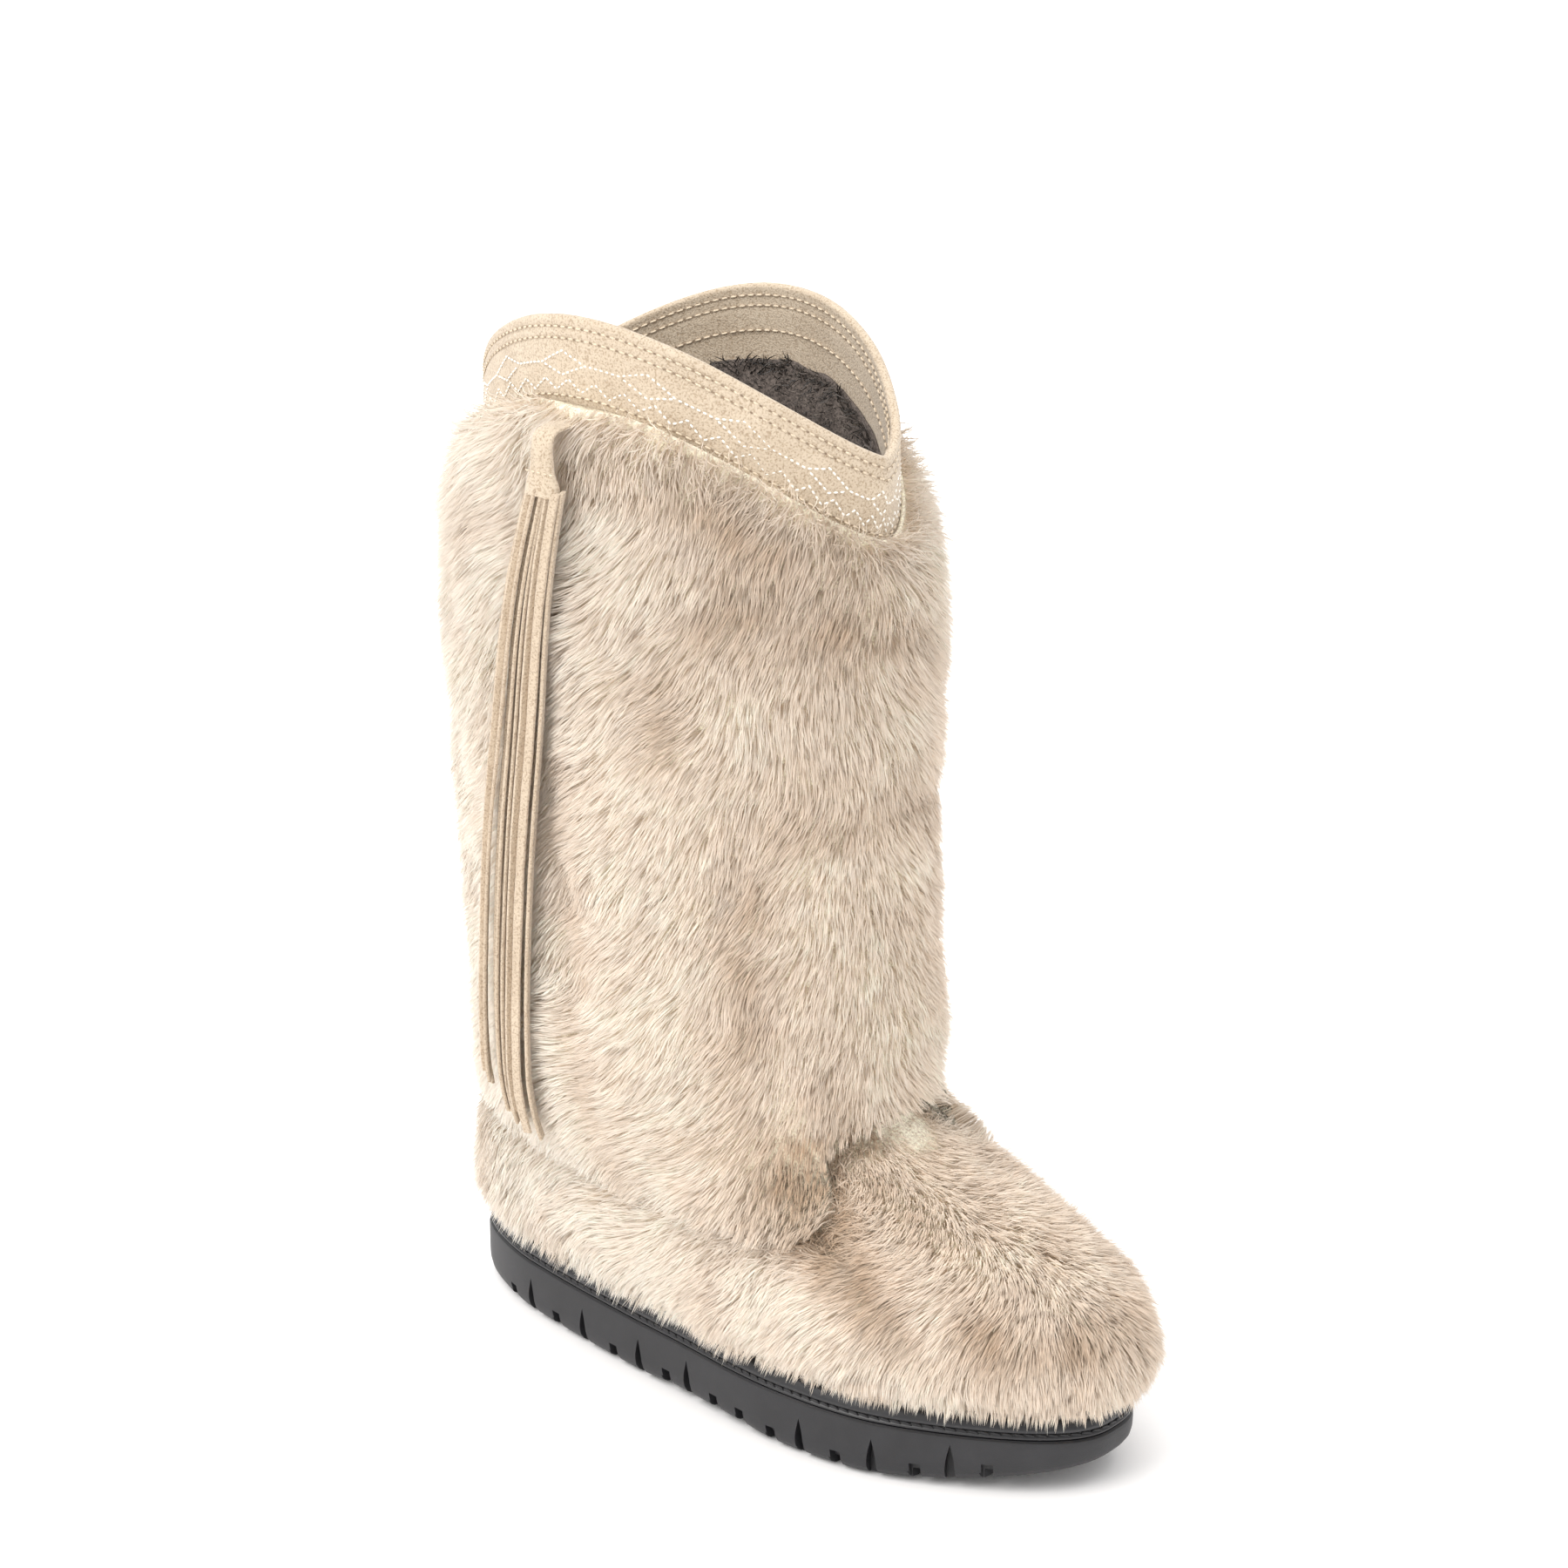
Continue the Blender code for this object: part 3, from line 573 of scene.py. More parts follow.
def seam_height(angle):
    """The seam between the foot's fur and the shaft's."""
    share = np.mod(angle, 2 * math.pi) / (2 * math.pi)
    places = [row[0] for row in SEAM_TABLE]
    return SOLE_THICKNESS + INSTEP_HEIGHT * follow(places, [row[1] for row in SEAM_TABLE], share)


def fur_depth(angle, z):
    """How far the fur stands off the last's skin: a little further near its top edge."""
    seam = seam_height(angle)
    share = (z - seam) / (fur_top(angle) - seam)
    return FUR_DEPTH + FUR_FLARE * ease((share - 0.55) / 0.3)


def underside(share):
    """The height of the sole's underside: level at heel and ball, raised at arch and toe."""
    arch = ARCH_RISE * ease((share - 0.36) / 0.08) * ease((0.62 - share) / 0.08)
    spring = TOE_SPRING * np.clip((share - 0.72) / 0.28, 0, 1) ** 1.7
    return arch + spring


def lattice(place, seed):
    """A fixed value from 0 to 1 for each whole-numbered place."""
    mask = 0xFFFFFFFF
    mixed = (place[..., 0] * 374761393 + place[..., 1] * 668265263) & mask
    mixed = (mixed + place[..., 2] * 1442695041 + seed * 97531) & mask
    mixed = ((mixed ^ (mixed >> 13)) * 1274126177) & mask
    mixed = ((mixed ^ (mixed >> 15)) * 374761393) & mask
    return (mixed >> 8) / float(1 << 24)


def noise(points, size, seed):
    """Smooth noise from -1 to 1 with lumps about size across."""
    places = np.asarray(points) / size + 500.0
    base = np.floor(places).astype(np.int64)
    part = places - base
    part = part * part * (3 - 2 * part)
    total = np.zeros(places.shape[:-1])
    for corner in itertools.product((0, 1), repeat=3):
        corner = np.array(corner)
        weight = np.where(corner == 1, part, 1 - part).prod(axis=-1)
        total += weight * lattice(base + corner, seed)
    return total * 2 - 1


def lumps(points, layers):
    """The sum of layers of noise: each is a height, a size and a seed."""
    return sum(rise * noise(points, size, seed) for rise, size, seed in layers)


def to_frame(points):
    """Points of the sole's own frame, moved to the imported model's origin."""
    return np.asarray(points, float) - np.array([HEEL_SHARE * SOLE_LENGTH, 0.0, 0.0])


def settle(piece, material, replaced=()):
    """Gives a piece its material and its body, and hides the imported nodes that it stands for."""
    piece.data.materials.clear()
    piece.data.materials.append(material)
    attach(piece, "root")
    if replaced:
        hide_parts(*replaced)
    return piece


def add_piece(name, points, faces, sharp=None, turn=True):
    """A mesh object from points in the sole's frame and faces, turned outwards and shaded smooth."""
    mesh = bpy.data.meshes.new(name)
    mesh.from_pydata(to_frame(points).tolist(), [], [tuple(f) for f in faces])
    if turn:
        shape = bmesh.new()
        shape.from_mesh(mesh)
        bmesh.ops.recalc_face_normals(shape, faces=shape.faces)
        shape.to_mesh(mesh)
        shape.free()
    mesh.shade_smooth()
    if sharp is not None:
        mesh.set_sharp_from_angle(angle=math.radians(sharp))
    piece = bpy.data.objects.new(name, mesh)
    bpy.context.scene.collection.objects.link(piece)
    return piece


def ring_faces(rows, count, closed):
    """Squares between rings of points, and from the last ring to the first where closed."""
    faces = []
    for r in range(rows if closed else rows - 1):
        s = (r + 1) % rows
        for j in range(count):
            k = (j + 1) % count
            faces.append((r * count + j, r * count + k, s * count + k, s * count + j))
    return faces


def add_wall(name, rings, sharp=None):
    """A hollow ring from rings of points that go up its outside and down its inside."""
    faces = ring_faces(len(rings), len(rings[0]), True)
    return add_piece(name, np.concatenate(rings), faces, sharp)


def add_slab(name, rings, sharp=None):
    """A solid from stacked rings, closed across at the bottom and the top."""
    count = len(rings[0])
    faces = ring_faces(len(rings), count, False)
    for start in (0, (len(rings) - 1) * count):
        faces.append((start, start + 1, start + count - 1))
        for j in range(1, count // 2 - 1):
            faces.append((start + j, start + j + 1, start + count - j - 1, start + count - j))
        j = count // 2 - 1
        faces.append((start + j, start + j + 1, start + j + 2))
    return add_piece(name, np.concatenate(rings), faces, sharp)


def add_triangles(name, points, triangles):
    """A mesh object of many triangles, made from arrays."""
    mesh = bpy.data.meshes.new(name)
    count = len(triangles)
    mesh.vertices.add(len(points))
    mesh.vertices.foreach_set("co", to_frame(points).astype(np.float32).ravel())
    mesh.loops.add(count * 3)
    mesh.loops.foreach_set("vertex_index", triangles.astype(np.int32).ravel())
    mesh.polygons.add(count)
    mesh.polygons.foreach_set("loop_start", np.arange(0, count * 3, 3, dtype=np.int32))
    mesh.update(calc_edges=True)
    mesh.shade_smooth()
    piece = bpy.data.objects.new(name, mesh)
    bpy.context.scene.collection.objects.link(piece)
    return piece


def new_material(name, roughness, **sockets):
    """A material with a Principled surface, and plain values on the named sockets."""
    material = bpy.data.materials.new(name)
    material.use_nodes = True
    surface = material.node_tree.nodes["Principled BSDF"]
    surface.inputs["Roughness"].default_value = roughness
    for socket, value in sockets.items():
        surface.inputs[socket.replace("_", " ")].default_value = value
    return material


def add_noise(material, size, detail=3.0, stretch=(1, 1, 1)):
    """A noise texture on the object's own coordinates, with lumps about size across."""
    tree = material.node_tree
    coords = tree.nodes.new("ShaderNodeTexCoord")
    scale = tree.nodes.new("ShaderNodeMapping")
    scale.inputs["Scale"].default_value = stretch
    texture = tree.nodes.new("ShaderNodeTexNoise")
    texture.inputs["Scale"].default_value = 1 / size
    texture.inputs["Detail"].default_value = detail
    tree.links.new(coords.outputs["Object"], scale.inputs["Vector"])
    tree.links.new(scale.outputs["Vector"], texture.inputs["Vector"])
    return texture.outputs["Fac"]


def add_ramp(material, factor, stops):
    """Colours by a factor: each stop is a place and a colour."""
    tree = material.node_tree
    ramp = tree.nodes.new("ShaderNodeValToRGB")
    elements = ramp.color_ramp.elements
    while len(elements) < len(stops):
        elements.new(0.5)
    for element, (place, colour) in zip(elements, stops):
        element.position = place
        element.color = (*colour, 1.0)
    tree.links.new(factor, ramp.inputs["Fac"])
    return ramp.outputs["Color"]


def add_mix(material, kind, factor, first, second):
    """Two colours mixed by a fixed factor."""
    tree = material.node_tree
    mix = tree.nodes.new("ShaderNodeMix")
    mix.data_type = "RGBA"
    mix.blend_type = kind
    mix.inputs[0].default_value = factor
    tree.links.new(first, mix.inputs[6])
    tree.links.new(second, mix.inputs[7])
    return mix.outputs[2]


def link_surface(material, socket, output):
    surface = material.node_tree.nodes["Principled BSDF"]
    material.node_tree.links.new(output, surface.inputs[socket])


def add_bumps(material, layers):
    """Bumps on top of each other: each layer is a height output, a distance and a strength."""
    tree = material.node_tree
    below = None
    for height, distance, strength in layers:
        bump = tree.nodes.new("ShaderNodeBump")
        bump.inputs["Distance"].default_value = distance
        bump.inputs["Strength"].default_value = strength
        tree.links.new(height, bump.inputs["Height"])
        if below is not None:
            tree.links.new(below, bump.inputs["Normal"])
        below = bump.outputs["Normal"]
    link_surface(material, "Normal", below)


def suede_material(name, light, dark):
    """Napped leather: speckled, cloudy in large patches, with a fine fibrous bump."""
    material = new_material(name, 0.95, Sheen_Weight=0.35, Sheen_Roughness=0.45)
    material.node_tree.nodes["Principled BSDF"].inputs["Specular IOR Level"].default_value = 0.15
    middle = tuple(0.35 * a + 0.65 * b for a, b in zip(dark, light))
    speck = add_noise(material, 0.00075, 4.0)
    cloud = add_noise(material, 0.016, 3.0)
    fine = add_ramp(material, speck, [(0.36, dark), (0.46, middle), (0.56, light)])
    pale = add_ramp(material, cloud, [(0.30, (0.88, 0.86, 0.84)), (0.70, (1.0, 1.0, 1.0))])
    link_surface(material, "Base Color", add_mix(material, "MULTIPLY", 1.0, fine, pale))
    nap = add_noise(material, 0.00045, 3.0)
    add_bumps(material, [(cloud, 0.0008, 0.4), (speck, 0.0006, 0.8), (nap, 0.0003, 0.7)])
    return material


def plain_noise_material(name, colour, roughness, size, spread, bump):
    """A colour that varies by a spread, with bumps of one size."""
    material = new_material(name, roughness)
    grain = add_noise(material, size, 3.0)
    low = tuple(c * (1 - spread) for c in colour)
    high = tuple(min(c * (1 + spread), 1.0) for c in colour)
    link_surface(material, "Base Color", add_ramp(material, grain, [(0.35, low), (0.65, high)]))
    add_bumps(material, [(grain, bump, 0.6)])
    return material


def hair_material(name, roughness, glow):
    """Hair: the colour stored on each hair, a little streaked, with light passing through by glow."""
    material = new_material(name, roughness, Sheen_Weight=0.25, Sheen_Roughness=0.4)
    tree = material.node_tree
    tree.nodes["Principled BSDF"].inputs["Specular IOR Level"].default_value = 0.2
    stored = tree.nodes.new("ShaderNodeAttribute")
    stored.attribute_name = "Tint"
    streak = add_noise(material, 0.0030, 2.0)
    shade = add_ramp(material, streak, [(0.30, (0.93, 0.92, 0.91)), (0.70, (1.0, 1.0, 1.0))])
    mixed = add_mix(material, "MULTIPLY", 1.0, stored.outputs["Color"], shade)
    link_surface(material, "Base Color", mixed)
    through = tree.nodes.new("ShaderNodeBsdfTranslucent")
    tree.links.new(mixed, through.inputs["Color"])
    blend = tree.nodes.new("ShaderNodeMixShader")
    blend.inputs["Fac"].default_value = glow
    tree.links.new(tree.nodes["Principled BSDF"].outputs["BSDF"], blend.inputs[1])
    tree.links.new(through.outputs["BSDF"], blend.inputs[2])
    tree.links.new(blend.outputs["Shader"], tree.nodes["Material Output"].inputs["Surface"])
    return material


def rubber_material():
    """Moulded rubber with a fine leather-like grain."""
    material = new_material("outsole_rubber", 0.5)
    tree = material.node_tree
    coords = tree.nodes.new("ShaderNodeTexCoord")
    cells = tree.nodes.new("ShaderNodeTexVoronoi")
    cells.feature = "DISTANCE_TO_EDGE"
    cells.inputs["Scale"].default_value = 1100.0
    tree.links.new(coords.outputs["Object"], cells.inputs["Vector"])
    wear = add_noise(material, 0.012, 4.0)
    lighter = tuple(c * 1.5 for c in RUBBER_COLOUR)
    colour = add_ramp(material, wear, [(0.3, RUBBER_COLOUR), (0.8, lighter)])
    link_surface(material, "Base Color", colour)
    add_bumps(material, [(wear, 0.0004, 0.25), (cells.outputs["Distance"], 0.0002, 0.35)])
    return material


def rand_material():
    """Semi-gloss black leather."""
    material = new_material("rand_leather", 0.34, Coat_Weight=0.15, Coat_Roughness=0.35)
    grain = add_noise(material, 0.0016, 3.0)
    lighter = tuple(c * 1.6 for c in RAND_COLOUR)
    link_surface(material, "Base Color", add_ramp(material, grain, [(0.3, RAND_COLOUR), (0.8, lighter)]))
    add_bumps(material, [(grain, 0.0003, 0.3)])
    return material


def form_lift(forms, names, angle, share, span, tall):
    """The sum of soft oval forms, listed one by one, around the boot."""
    total = np.zeros(np.broadcast(angle, share).shape)
    for row in forms:
        form = dict(zip(names, row))
        away = angle - math.radians(form["angle"])
        away = np.arctan2(np.sin(away), np.cos(away)) * span / (2 * math.pi)
        rise = (share - form["share"]) * tall
        turn = math.radians(form["turn"])
        side = away * math.cos(turn) - rise * math.sin(turn)
        length = away * math.sin(turn) + rise * math.cos(turn)
        total = total + row[4] * np.exp(-((side / form["wide"]) ** 2) - (length / form["tall"]) ** 2)
    return total


class Pelt:
    """A stretch of fur between two edges, with its lumps, its tan patches and painted shade, and the way
    it is combed.
    """

    def __init__(self, name, low, high, span, tall, forms, patches, lean, bare=(), tuck=0.0):
        self.name, self.low, self.high = name, low, high
        self.span, self.tall = span, tall
        self.forms, self.patches, self.lean = forms, patches, lean
        self.bare, self.tuck = bare, tuck

    def level(self, angle, share):
        return self.low(angle) + (self.high(angle) - self.low(angle)) * share

    def lift(self, angle, share, points):
        """How far the fur's surface lies above or below its plain depth."""
        made = form_lift(self.forms, FORM_COLUMNS, angle, share, self.span, self.tall)
        return made + lumps(points, FUR_LUMPS)

    def patch(self, angle, share, points):
        """How tan the fur is, from 0 to 1: tan in the fur itself, with painted shade in its troughs and
        creases, along the seam and towards the toe.
        """
        made = form_lift(self.patches, PATCH_COLUMNS, angle, share, self.span, self.tall)
        made = made * (0.8 + lumps(points, TAN_SPECKLES)) + lumps(points, TAN_CLOUDS)
        return np.clip(made + FRONT_SHADE * (0.5 - 0.5 * np.cos(angle)), 0, 1)


def scatter(pelt, count, rng, columns=256, rows=64):
    """Random places spread evenly over a pelt's area: their angles and their shares of its height."""
    angle = np.linspace(0, 2 * math.pi, columns + 1)[None, :]
    share = np.linspace(0, 1, rows + 1)[:, None]
    grid = skin(angle + 0 * share, pelt.level(angle, share), FUR_DEPTH)
    wide = grid[:-1, 1:] - grid[:-1, :-1]
    high = grid[1:, :-1] - grid[:-1, :-1]
    area = np.linalg.norm(np.cross(wide, high), axis=-1).ravel()
    row, col = np.divmod(rng.choice(area.size, count, p=area / area.sum()), columns)
    return (col + rng.random(count)) * 2 * math.pi / columns, (row + rng.random(count)) / rows


def lay_hair(pelt, angle, share):
    """The base point, the way out, the combed way, the depth and the lift at each place."""
    z = pelt.level(angle, share)
    base = last_plan(angle, z)
    out, along, up = skin_axes(angle, z)
    turn = pelt.lean(angle, share, base)[:, None]
    comb = along * np.sin(turn) - up * np.cos(turn)
    lift = pelt.lift(angle, share, base)
    return base, out, along, up, comb, fur_depth(angle, z), lift


def lock_tips(pelt, size, rng, reach):
    """The middles of locks of hair of a size, and where each lock's tip lies."""
    area = pelt.span * pelt.tall
    angle, share = scatter(pelt, int(area / size**2), rng)
    base, out, along, up, comb, depth, lift = lay_hair(pelt, angle, share)
    stand = (depth + lift + 0.0010 * rng.standard_normal(len(angle)))[:, None]
    reach = (reach * (1 + 0.25 * rng.standard_normal(len(angle))))[:, None]
    middle = base + out * depth[:, None]
    return middle, base + out * stand + comb * reach


def nearest(middles, points):
    """The index of the middle nearest to each point."""
    tree = kdtree.KDTree(len(middles))
    for i, place in enumerate(middles.tolist()):
        tree.insert(place, i)
    tree.balance()
    find = tree.find
    return np.array([find(place)[1] for place in points.tolist()])


def edge_shape(pelt, angle, share):
    """How far each place is from the pelt's bottom and top edges, from 0 at an edge to 1."""
    tall = pelt.high(angle) - pelt.low(angle)
    cover = STRAP_COVER_SHARE * near_strap(angle, STRAP_COVER) * (pelt.high is fur_top)
    top_edge = ease((1 - share) * tall / TOP_EDGE_HEIGHT)
    return ease(share * tall / LOW_EDGE_HEIGHT), top_edge + (1 - top_edge) * cover


def hair_colours(pelt, angle, share, base, lock, rng, lock_count):
    """The colour of each hair's base, middle and tip, tanned and darker at the root where the fur is tan
    and where shade is painted on it.
    """
    tan_and_shade_share = pelt.patch(angle, share, base)[:, None]
    front = (0.5 - 0.5 * np.cos(angle))[:, None]
    tip = np.array(HAIR_PALE) * (1 - front) + np.array(HAIR_TIP) * front
    tip = tip * (1 - tan_and_shade_share) + np.array(HAIR_TAN_AND_SHADE) * tan_and_shade_share
    base_colour = np.array(HAIR_BASE) * (1 - 0.45 * tan_and_shade_share)
    lock_tone = (1 + LOCK_TONE * rng.standard_normal(lock_count))[lock][:, None]
    own_tone = (1 + HAIR_TONE * rng.standard_normal(len(angle)))[:, None]
    tone = np.clip(lock_tone * own_tone, 0.7, 1.12)
    colours = [base_colour * tone, (0.35 * base_colour + 0.65 * tip) * tone, tip * tone]
    return np.clip(np.stack(colours, axis=1), 0.0, 0.97)


def grow_hair(pelt, count, rng):
    """Hairs of a pelt: five points each, gathered into locks, with colours and shading normals."""
    lock_middle, lock_tip = lock_tips(pelt, TUFT_SIZE, rng, HAIR_REACH * 1.1)
    for size, part in LOCK_PULLS:
        middle, tip = lock_tips(pelt, size, rng, HAIR_REACH)
        home = nearest(lock_middle, middle)
        tip += (lock_tip[home] - tip) * part
        lock_middle, lock_tip = middle, tip
    angle, share = scatter(pelt, count, rng)
    base, out, along, up, comb, depth, lift = lay_hair(pelt, angle, share)
    lock = nearest(lock_middle, base + out * depth[:, None])
    low_edge, top_edge = edge_shape(pelt, angle, share)
    draw = rng.random((count, 4))
    bare = BARE_CUT * form_lift(pelt.bare, PATCH_COLUMNS, angle, share, pelt.span, pelt.tall)
    ragged = (RAGGED_SHARE * noise(base, RAGGED_SIZE, 15) - LOW_CUT - bare) * (1 - low_edge)
    tucked = 1 - pelt.tuck * (1 - low_edge)
    stand = depth * (TOP_STAND + (1 - TOP_STAND) * top_edge) * tucked
    stand += lift - HAIR_SINK + HAIR_UNEVEN * (draw[:, 0] - 0.5)
    full = np.maximum(LOW_REACH + (1 - LOW_REACH) * low_edge + ragged, LEAST_REACH)
    reach = HAIR_REACH * (0.75 + 0.5 * draw[:, 1]) * full
    upright = ((1 - top_edge) * draw[:, 2])[:, None]
    loose = rng.normal(0, HAIR_LOOSE, (count, 3))
    way = (comb + out * HAIR_OUTWARD) * (1 - upright) + (up * 0.9 + out * 0.2) * upright
    way = unit(way + loose)
    deep = (TOP_ROOT + (1 - TOP_ROOT) * top_edge) * tucked
    root = base + out * (HAIR_ROOT * deep + 0.7 * lift * deep)[:, None] - comb * 0.001
    tip = base + out * stand[:, None] + way * reach[:, None]
    pull = (HAIR_PULL * (0.5 + 0.5 * top_edge) * (0.6 + 0.4 * draw[:, 3]))[:, None]
    tip += (lock_tip[lock] - tip) * pull * (1 - upright)
    middle = (root + tip) / 2 + out * HAIR_ARCH
    ahead = unit(tip - root)
    side = unit(np.cross(ahead, out))
    face = np.cross(side, ahead)
    roll = rng.uniform(-HAIR_ROLL, HAIR_ROLL, count)[:, None]
    side = side * np.cos(roll) + face * np.sin(roll)
    half = side * (HAIR_WIDTH / 2 * rng.uniform(0.7, 1.3, count))[:, None]
    points = np.stack([root - half, root + half, middle - half * 0.8, middle + half * 0.8, tip], axis=1)
    tones = hair_colours(pelt, angle, share, base, lock, rng, len(lock_middle))
    colours = tones[:, [0, 0, 1, 1, 2]]
    geometric = np.cross(side, ahead)
    geometric *= np.sign((geometric * out).sum(axis=1))[:, None]
    normals = unit(out + geometric * 0.24 - comb * 0.10 + rng.normal(0, 0.08, (count, 3)))
    return angle, points, colours, normals


def add_hair(name, points, colours, normals):
    """One piece of hairs: two triangles and a tip each, with stored colours and normals."""
    count = len(points)
    start = np.arange(count)[:, None, None] * 5
    pattern = np.array([(0, 1, 3), (0, 3, 2), (2, 3, 4)])
    triangles = (start + pattern[None]).reshape(-1, 3)
    piece = add_triangles(name, points.reshape(-1, 3), triangles)
    stored = piece.data.color_attributes.new("Tint", "FLOAT_COLOR", "POINT")
    full = np.ones((count * 5, 4), np.float32)
    full[:, :3] = colours.reshape(-1, 3)
    stored.data.foreach_set("color", full.ravel())
    piece.data.normals_split_custom_set_from_vertices(np.repeat(normals, 5, axis=0).tolist())
    return piece


def add_coat(pelt, columns, rows):
    """The dense short undercoat below the hair, closed at both edges."""
    angle = around(columns)
    rings = []
    for share in np.linspace(0, 1, rows):
        places = np.full(columns, share)
        z = pelt.level(angle, share)
        base = last_plan(angle, z)
        low_edge, top_edge = edge_shape(pelt, angle, places)
        lift = pelt.lift(angle, places, base) * 0.8
        fuzz = lumps(base, COAT_LUMPS)
        inner = low_edge * top_edge
        depth = COAT_DEPTH * (0.18 + 0.82 * inner) + (lift + fuzz) * inner
        rings.append(skin(angle, z, np.maximum(depth, 0.002)))
    for share in (0.999, 0.6, 0.3, 0.001):
        rings.append(skin(angle, pelt.level(angle, share), GAP * 2))
    return add_wall(pelt.name + "_coat", rings)


def shaft_lean(angle, share, base):
    """The shaft's hair leans back on both sides, straight down in front, with swirls."""
    return SHAFT_LEAN * -np.sin(angle) * (1 - 0.25 * share) + lumps(base, SHAFT_SWIRLS)


def foot_lean(angle, share, base):
    """The foot's hair leans back, and hangs straight down along its lower edge."""
    back = FOOT_LEAN * -np.sin(angle) * ease(share / 0.35)
    return back + lumps(base, FOOT_SWIRLS) * ease(share / 0.25)


def build_fur(hair_look, coat_look):
    """Both pelts: an undercoat that stands for the solid, and pieces of hair on it."""
    shaft = Pelt("fur_shaft", seam_height, fur_top, 0.50, 0.25, SHAFT_FORMS, SHAFT_TAN_AND_SHADE_PATCHES, shaft_lean)
    foot = Pelt("fur_foot", fur_foot_edge, seam_height, 0.62, 0.075, FOOT_FORMS, FOOT_TAN_AND_SHADE_PATCHES, foot_lean,
                BARE_EDGES, LOW_TUCK)
    share = 1.0
    for pelt, hairs, rows, seed in ((shaft, SHAFT_HAIRS, 72, 21), (foot, FOOT_HAIRS, 44, 22)):
        settle(add_coat(pelt, 260, rows), coat_look, (pelt.name,))
        count = int(hairs * share)
        angle, points, colours, normals = grow_hair(pelt, count, np.random.default_rng(seed))
        order = np.argsort(angle)
        parts = np.array_split(order, math.ceil(count / PIECE_HAIRS))
        for i, chosen in enumerate(parts):
            name = f"{pelt.name}_hair_{i + 1}"
            piece = add_hair(name, points[chosen], colours[chosen], normals[chosen])
            settle(piece, hair_look)


def add_stitches(name, centres, ways, outs, length, width):
    """Stitches as short rounded rods, joined in one piece."""
    ways, outs = unit(ways), unit(outs)
    sides = np.cross(ways, outs)
    points, faces = [], []
    stations = ((-0.5, 0.45, -0.5), (-0.25, 1.0, 0.0), (0.25, 1.0, 0.0), (0.5, 0.45, -0.5))
    for along, thick, sink in stations:
        for turn in around(4):
            ring = sides * math.cos(turn) * thick + outs * (math.sin(turn) * thick + sink)
            points.append(centres + ways * along * length + ring * width / 2)
    points = np.stack(points, axis=1)
    pattern = ring_faces(4, 4, False) + [(3, 2, 1, 0), (12, 13, 14, 15)]
    for i in range(len(centres)):
        faces += [tuple(16 * i + v for v in face) for face in pattern]
    return add_piece(name, points.reshape(-1, 3), faces, turn=False)


def add_hole_shades(name, centres, ways, outs, length, width):
    """Flat dark ovals of painted shade where the thread goes in, joined in one piece."""
    ways, outs = unit(ways), unit(outs)
    sides = np.cross(ways, outs)
    points = []
    for turn in around(8):
        ring = ways * math.cos(turn) * length / 2 + sides * math.sin(turn) * width / 2
        points.append(centres + ring)
    points = np.stack(points, axis=1)
    faces = [tuple(range(8 * i, 8 * i + 8)) for i in range(len(centres))]
    return add_piece(name, points.reshape(-1, 3), faces, turn=False)


def spaced(line, pitch):
    """Angles that are evenly spaced along a closed line around the boot."""
    angle = np.linspace(0, 2 * math.pi, 3001)
    steps = np.linalg.norm(np.diff(line(angle), axis=0), axis=1)
    run = np.concatenate([[0], np.cumsum(steps)])
    count = int(run[-1] / pitch)
    return np.interp((np.arange(count) + 0.5) / count * run[-1], run, angle)


def collar_line(drop, out):
    """A line around the collar, a drop below its rim; the drop may vary with the angle."""

    def line(angle):
        fall = drop(angle) if callable(drop) else drop
        return skin(angle, rim_height(angle) - fall, out)

    return line


def sew(line, pitch, least=0.0):
    """Middles, ways and outward ways of the stitches along a line, where diamonds are open enough."""
    angle = spaced(line, pitch)
    angle = angle[diamond_open(angle) >= least]
    centres = line(angle)
    ways = line(angle + 1e-3) - line(angle - 1e-3)
    return centres, ways, skin_axes(angle, centres[:, 2])[0]


def collar_dent(drop):
    """How far the stitch rows draw the collar's face in."""
    return -DENT_DEPTH * sum(np.exp(-(((drop - row) / DENT_WIDTH) ** 2)) for row in DENTED_DROPS)


def build_collar(look):
    """The stitched band: two layers of suede with a rounded, slightly wavy rim."""
    angle = around(240)
    bead = COLLAR_WALL * 0.45
    wave = 0.0005 * noise(skin(angle, rim_height(angle), 0.0), 0.020, 31)
    outside = [COLLAR_HEIGHT, 0.038, 0.033, *np.linspace(0.030, bead, 27)]
    inside = [*np.linspace(bead, 0.030, 20), 0.036, COLLAR_HEIGHT]
    rings = [skin(angle, rim_height(angle) - drop, collar_dent(drop) + wave) for drop in outside]
    for turn in np.linspace(0, math.pi, 9)[1:-1]:
        depth = COLLAR_WALL * (0.5 - 0.5 * math.cos(turn))
        rise = bead * math.sin(turn)
        rings.append(skin(angle, rim_height(angle) - bead + rise, wave - depth))
    for drop in inside:
        rings.append(skin(angle, rim_height(angle) - drop, wave - COLLAR_WALL - collar_dent(drop)))
    settle(add_wall("collar_band", rings), look, ("collar",))


def diamond_open(angle):
    """How far the collar's diamonds are open: 0 between them, 1 at their middles."""
    turn = np.mod(angle / (2 * math.pi) * DIAMONDS + 0.30, 1.0)
    return np.clip(1 - np.abs(turn - 0.5) / 0.30, 0, 1)


def diamond_drop(side):
    """A line that opens into diamonds and closes to a point between them, on one side of them."""

    def drop(angle):
        return DIAMOND_DROP + side * DIAMOND_HEIGHT * diamond_open(angle)

    return drop


def zigzag_drop(angle):
    """A plain zigzag below the diamonds."""
    turn = np.mod(angle / (2 * math.pi) * ZIGZAGS + 0.15, 1.0)
    return ZIGZAG_DROP + ZIGZAG_HEIGHT * (2 * np.abs(2 * turn - 1) - 1)


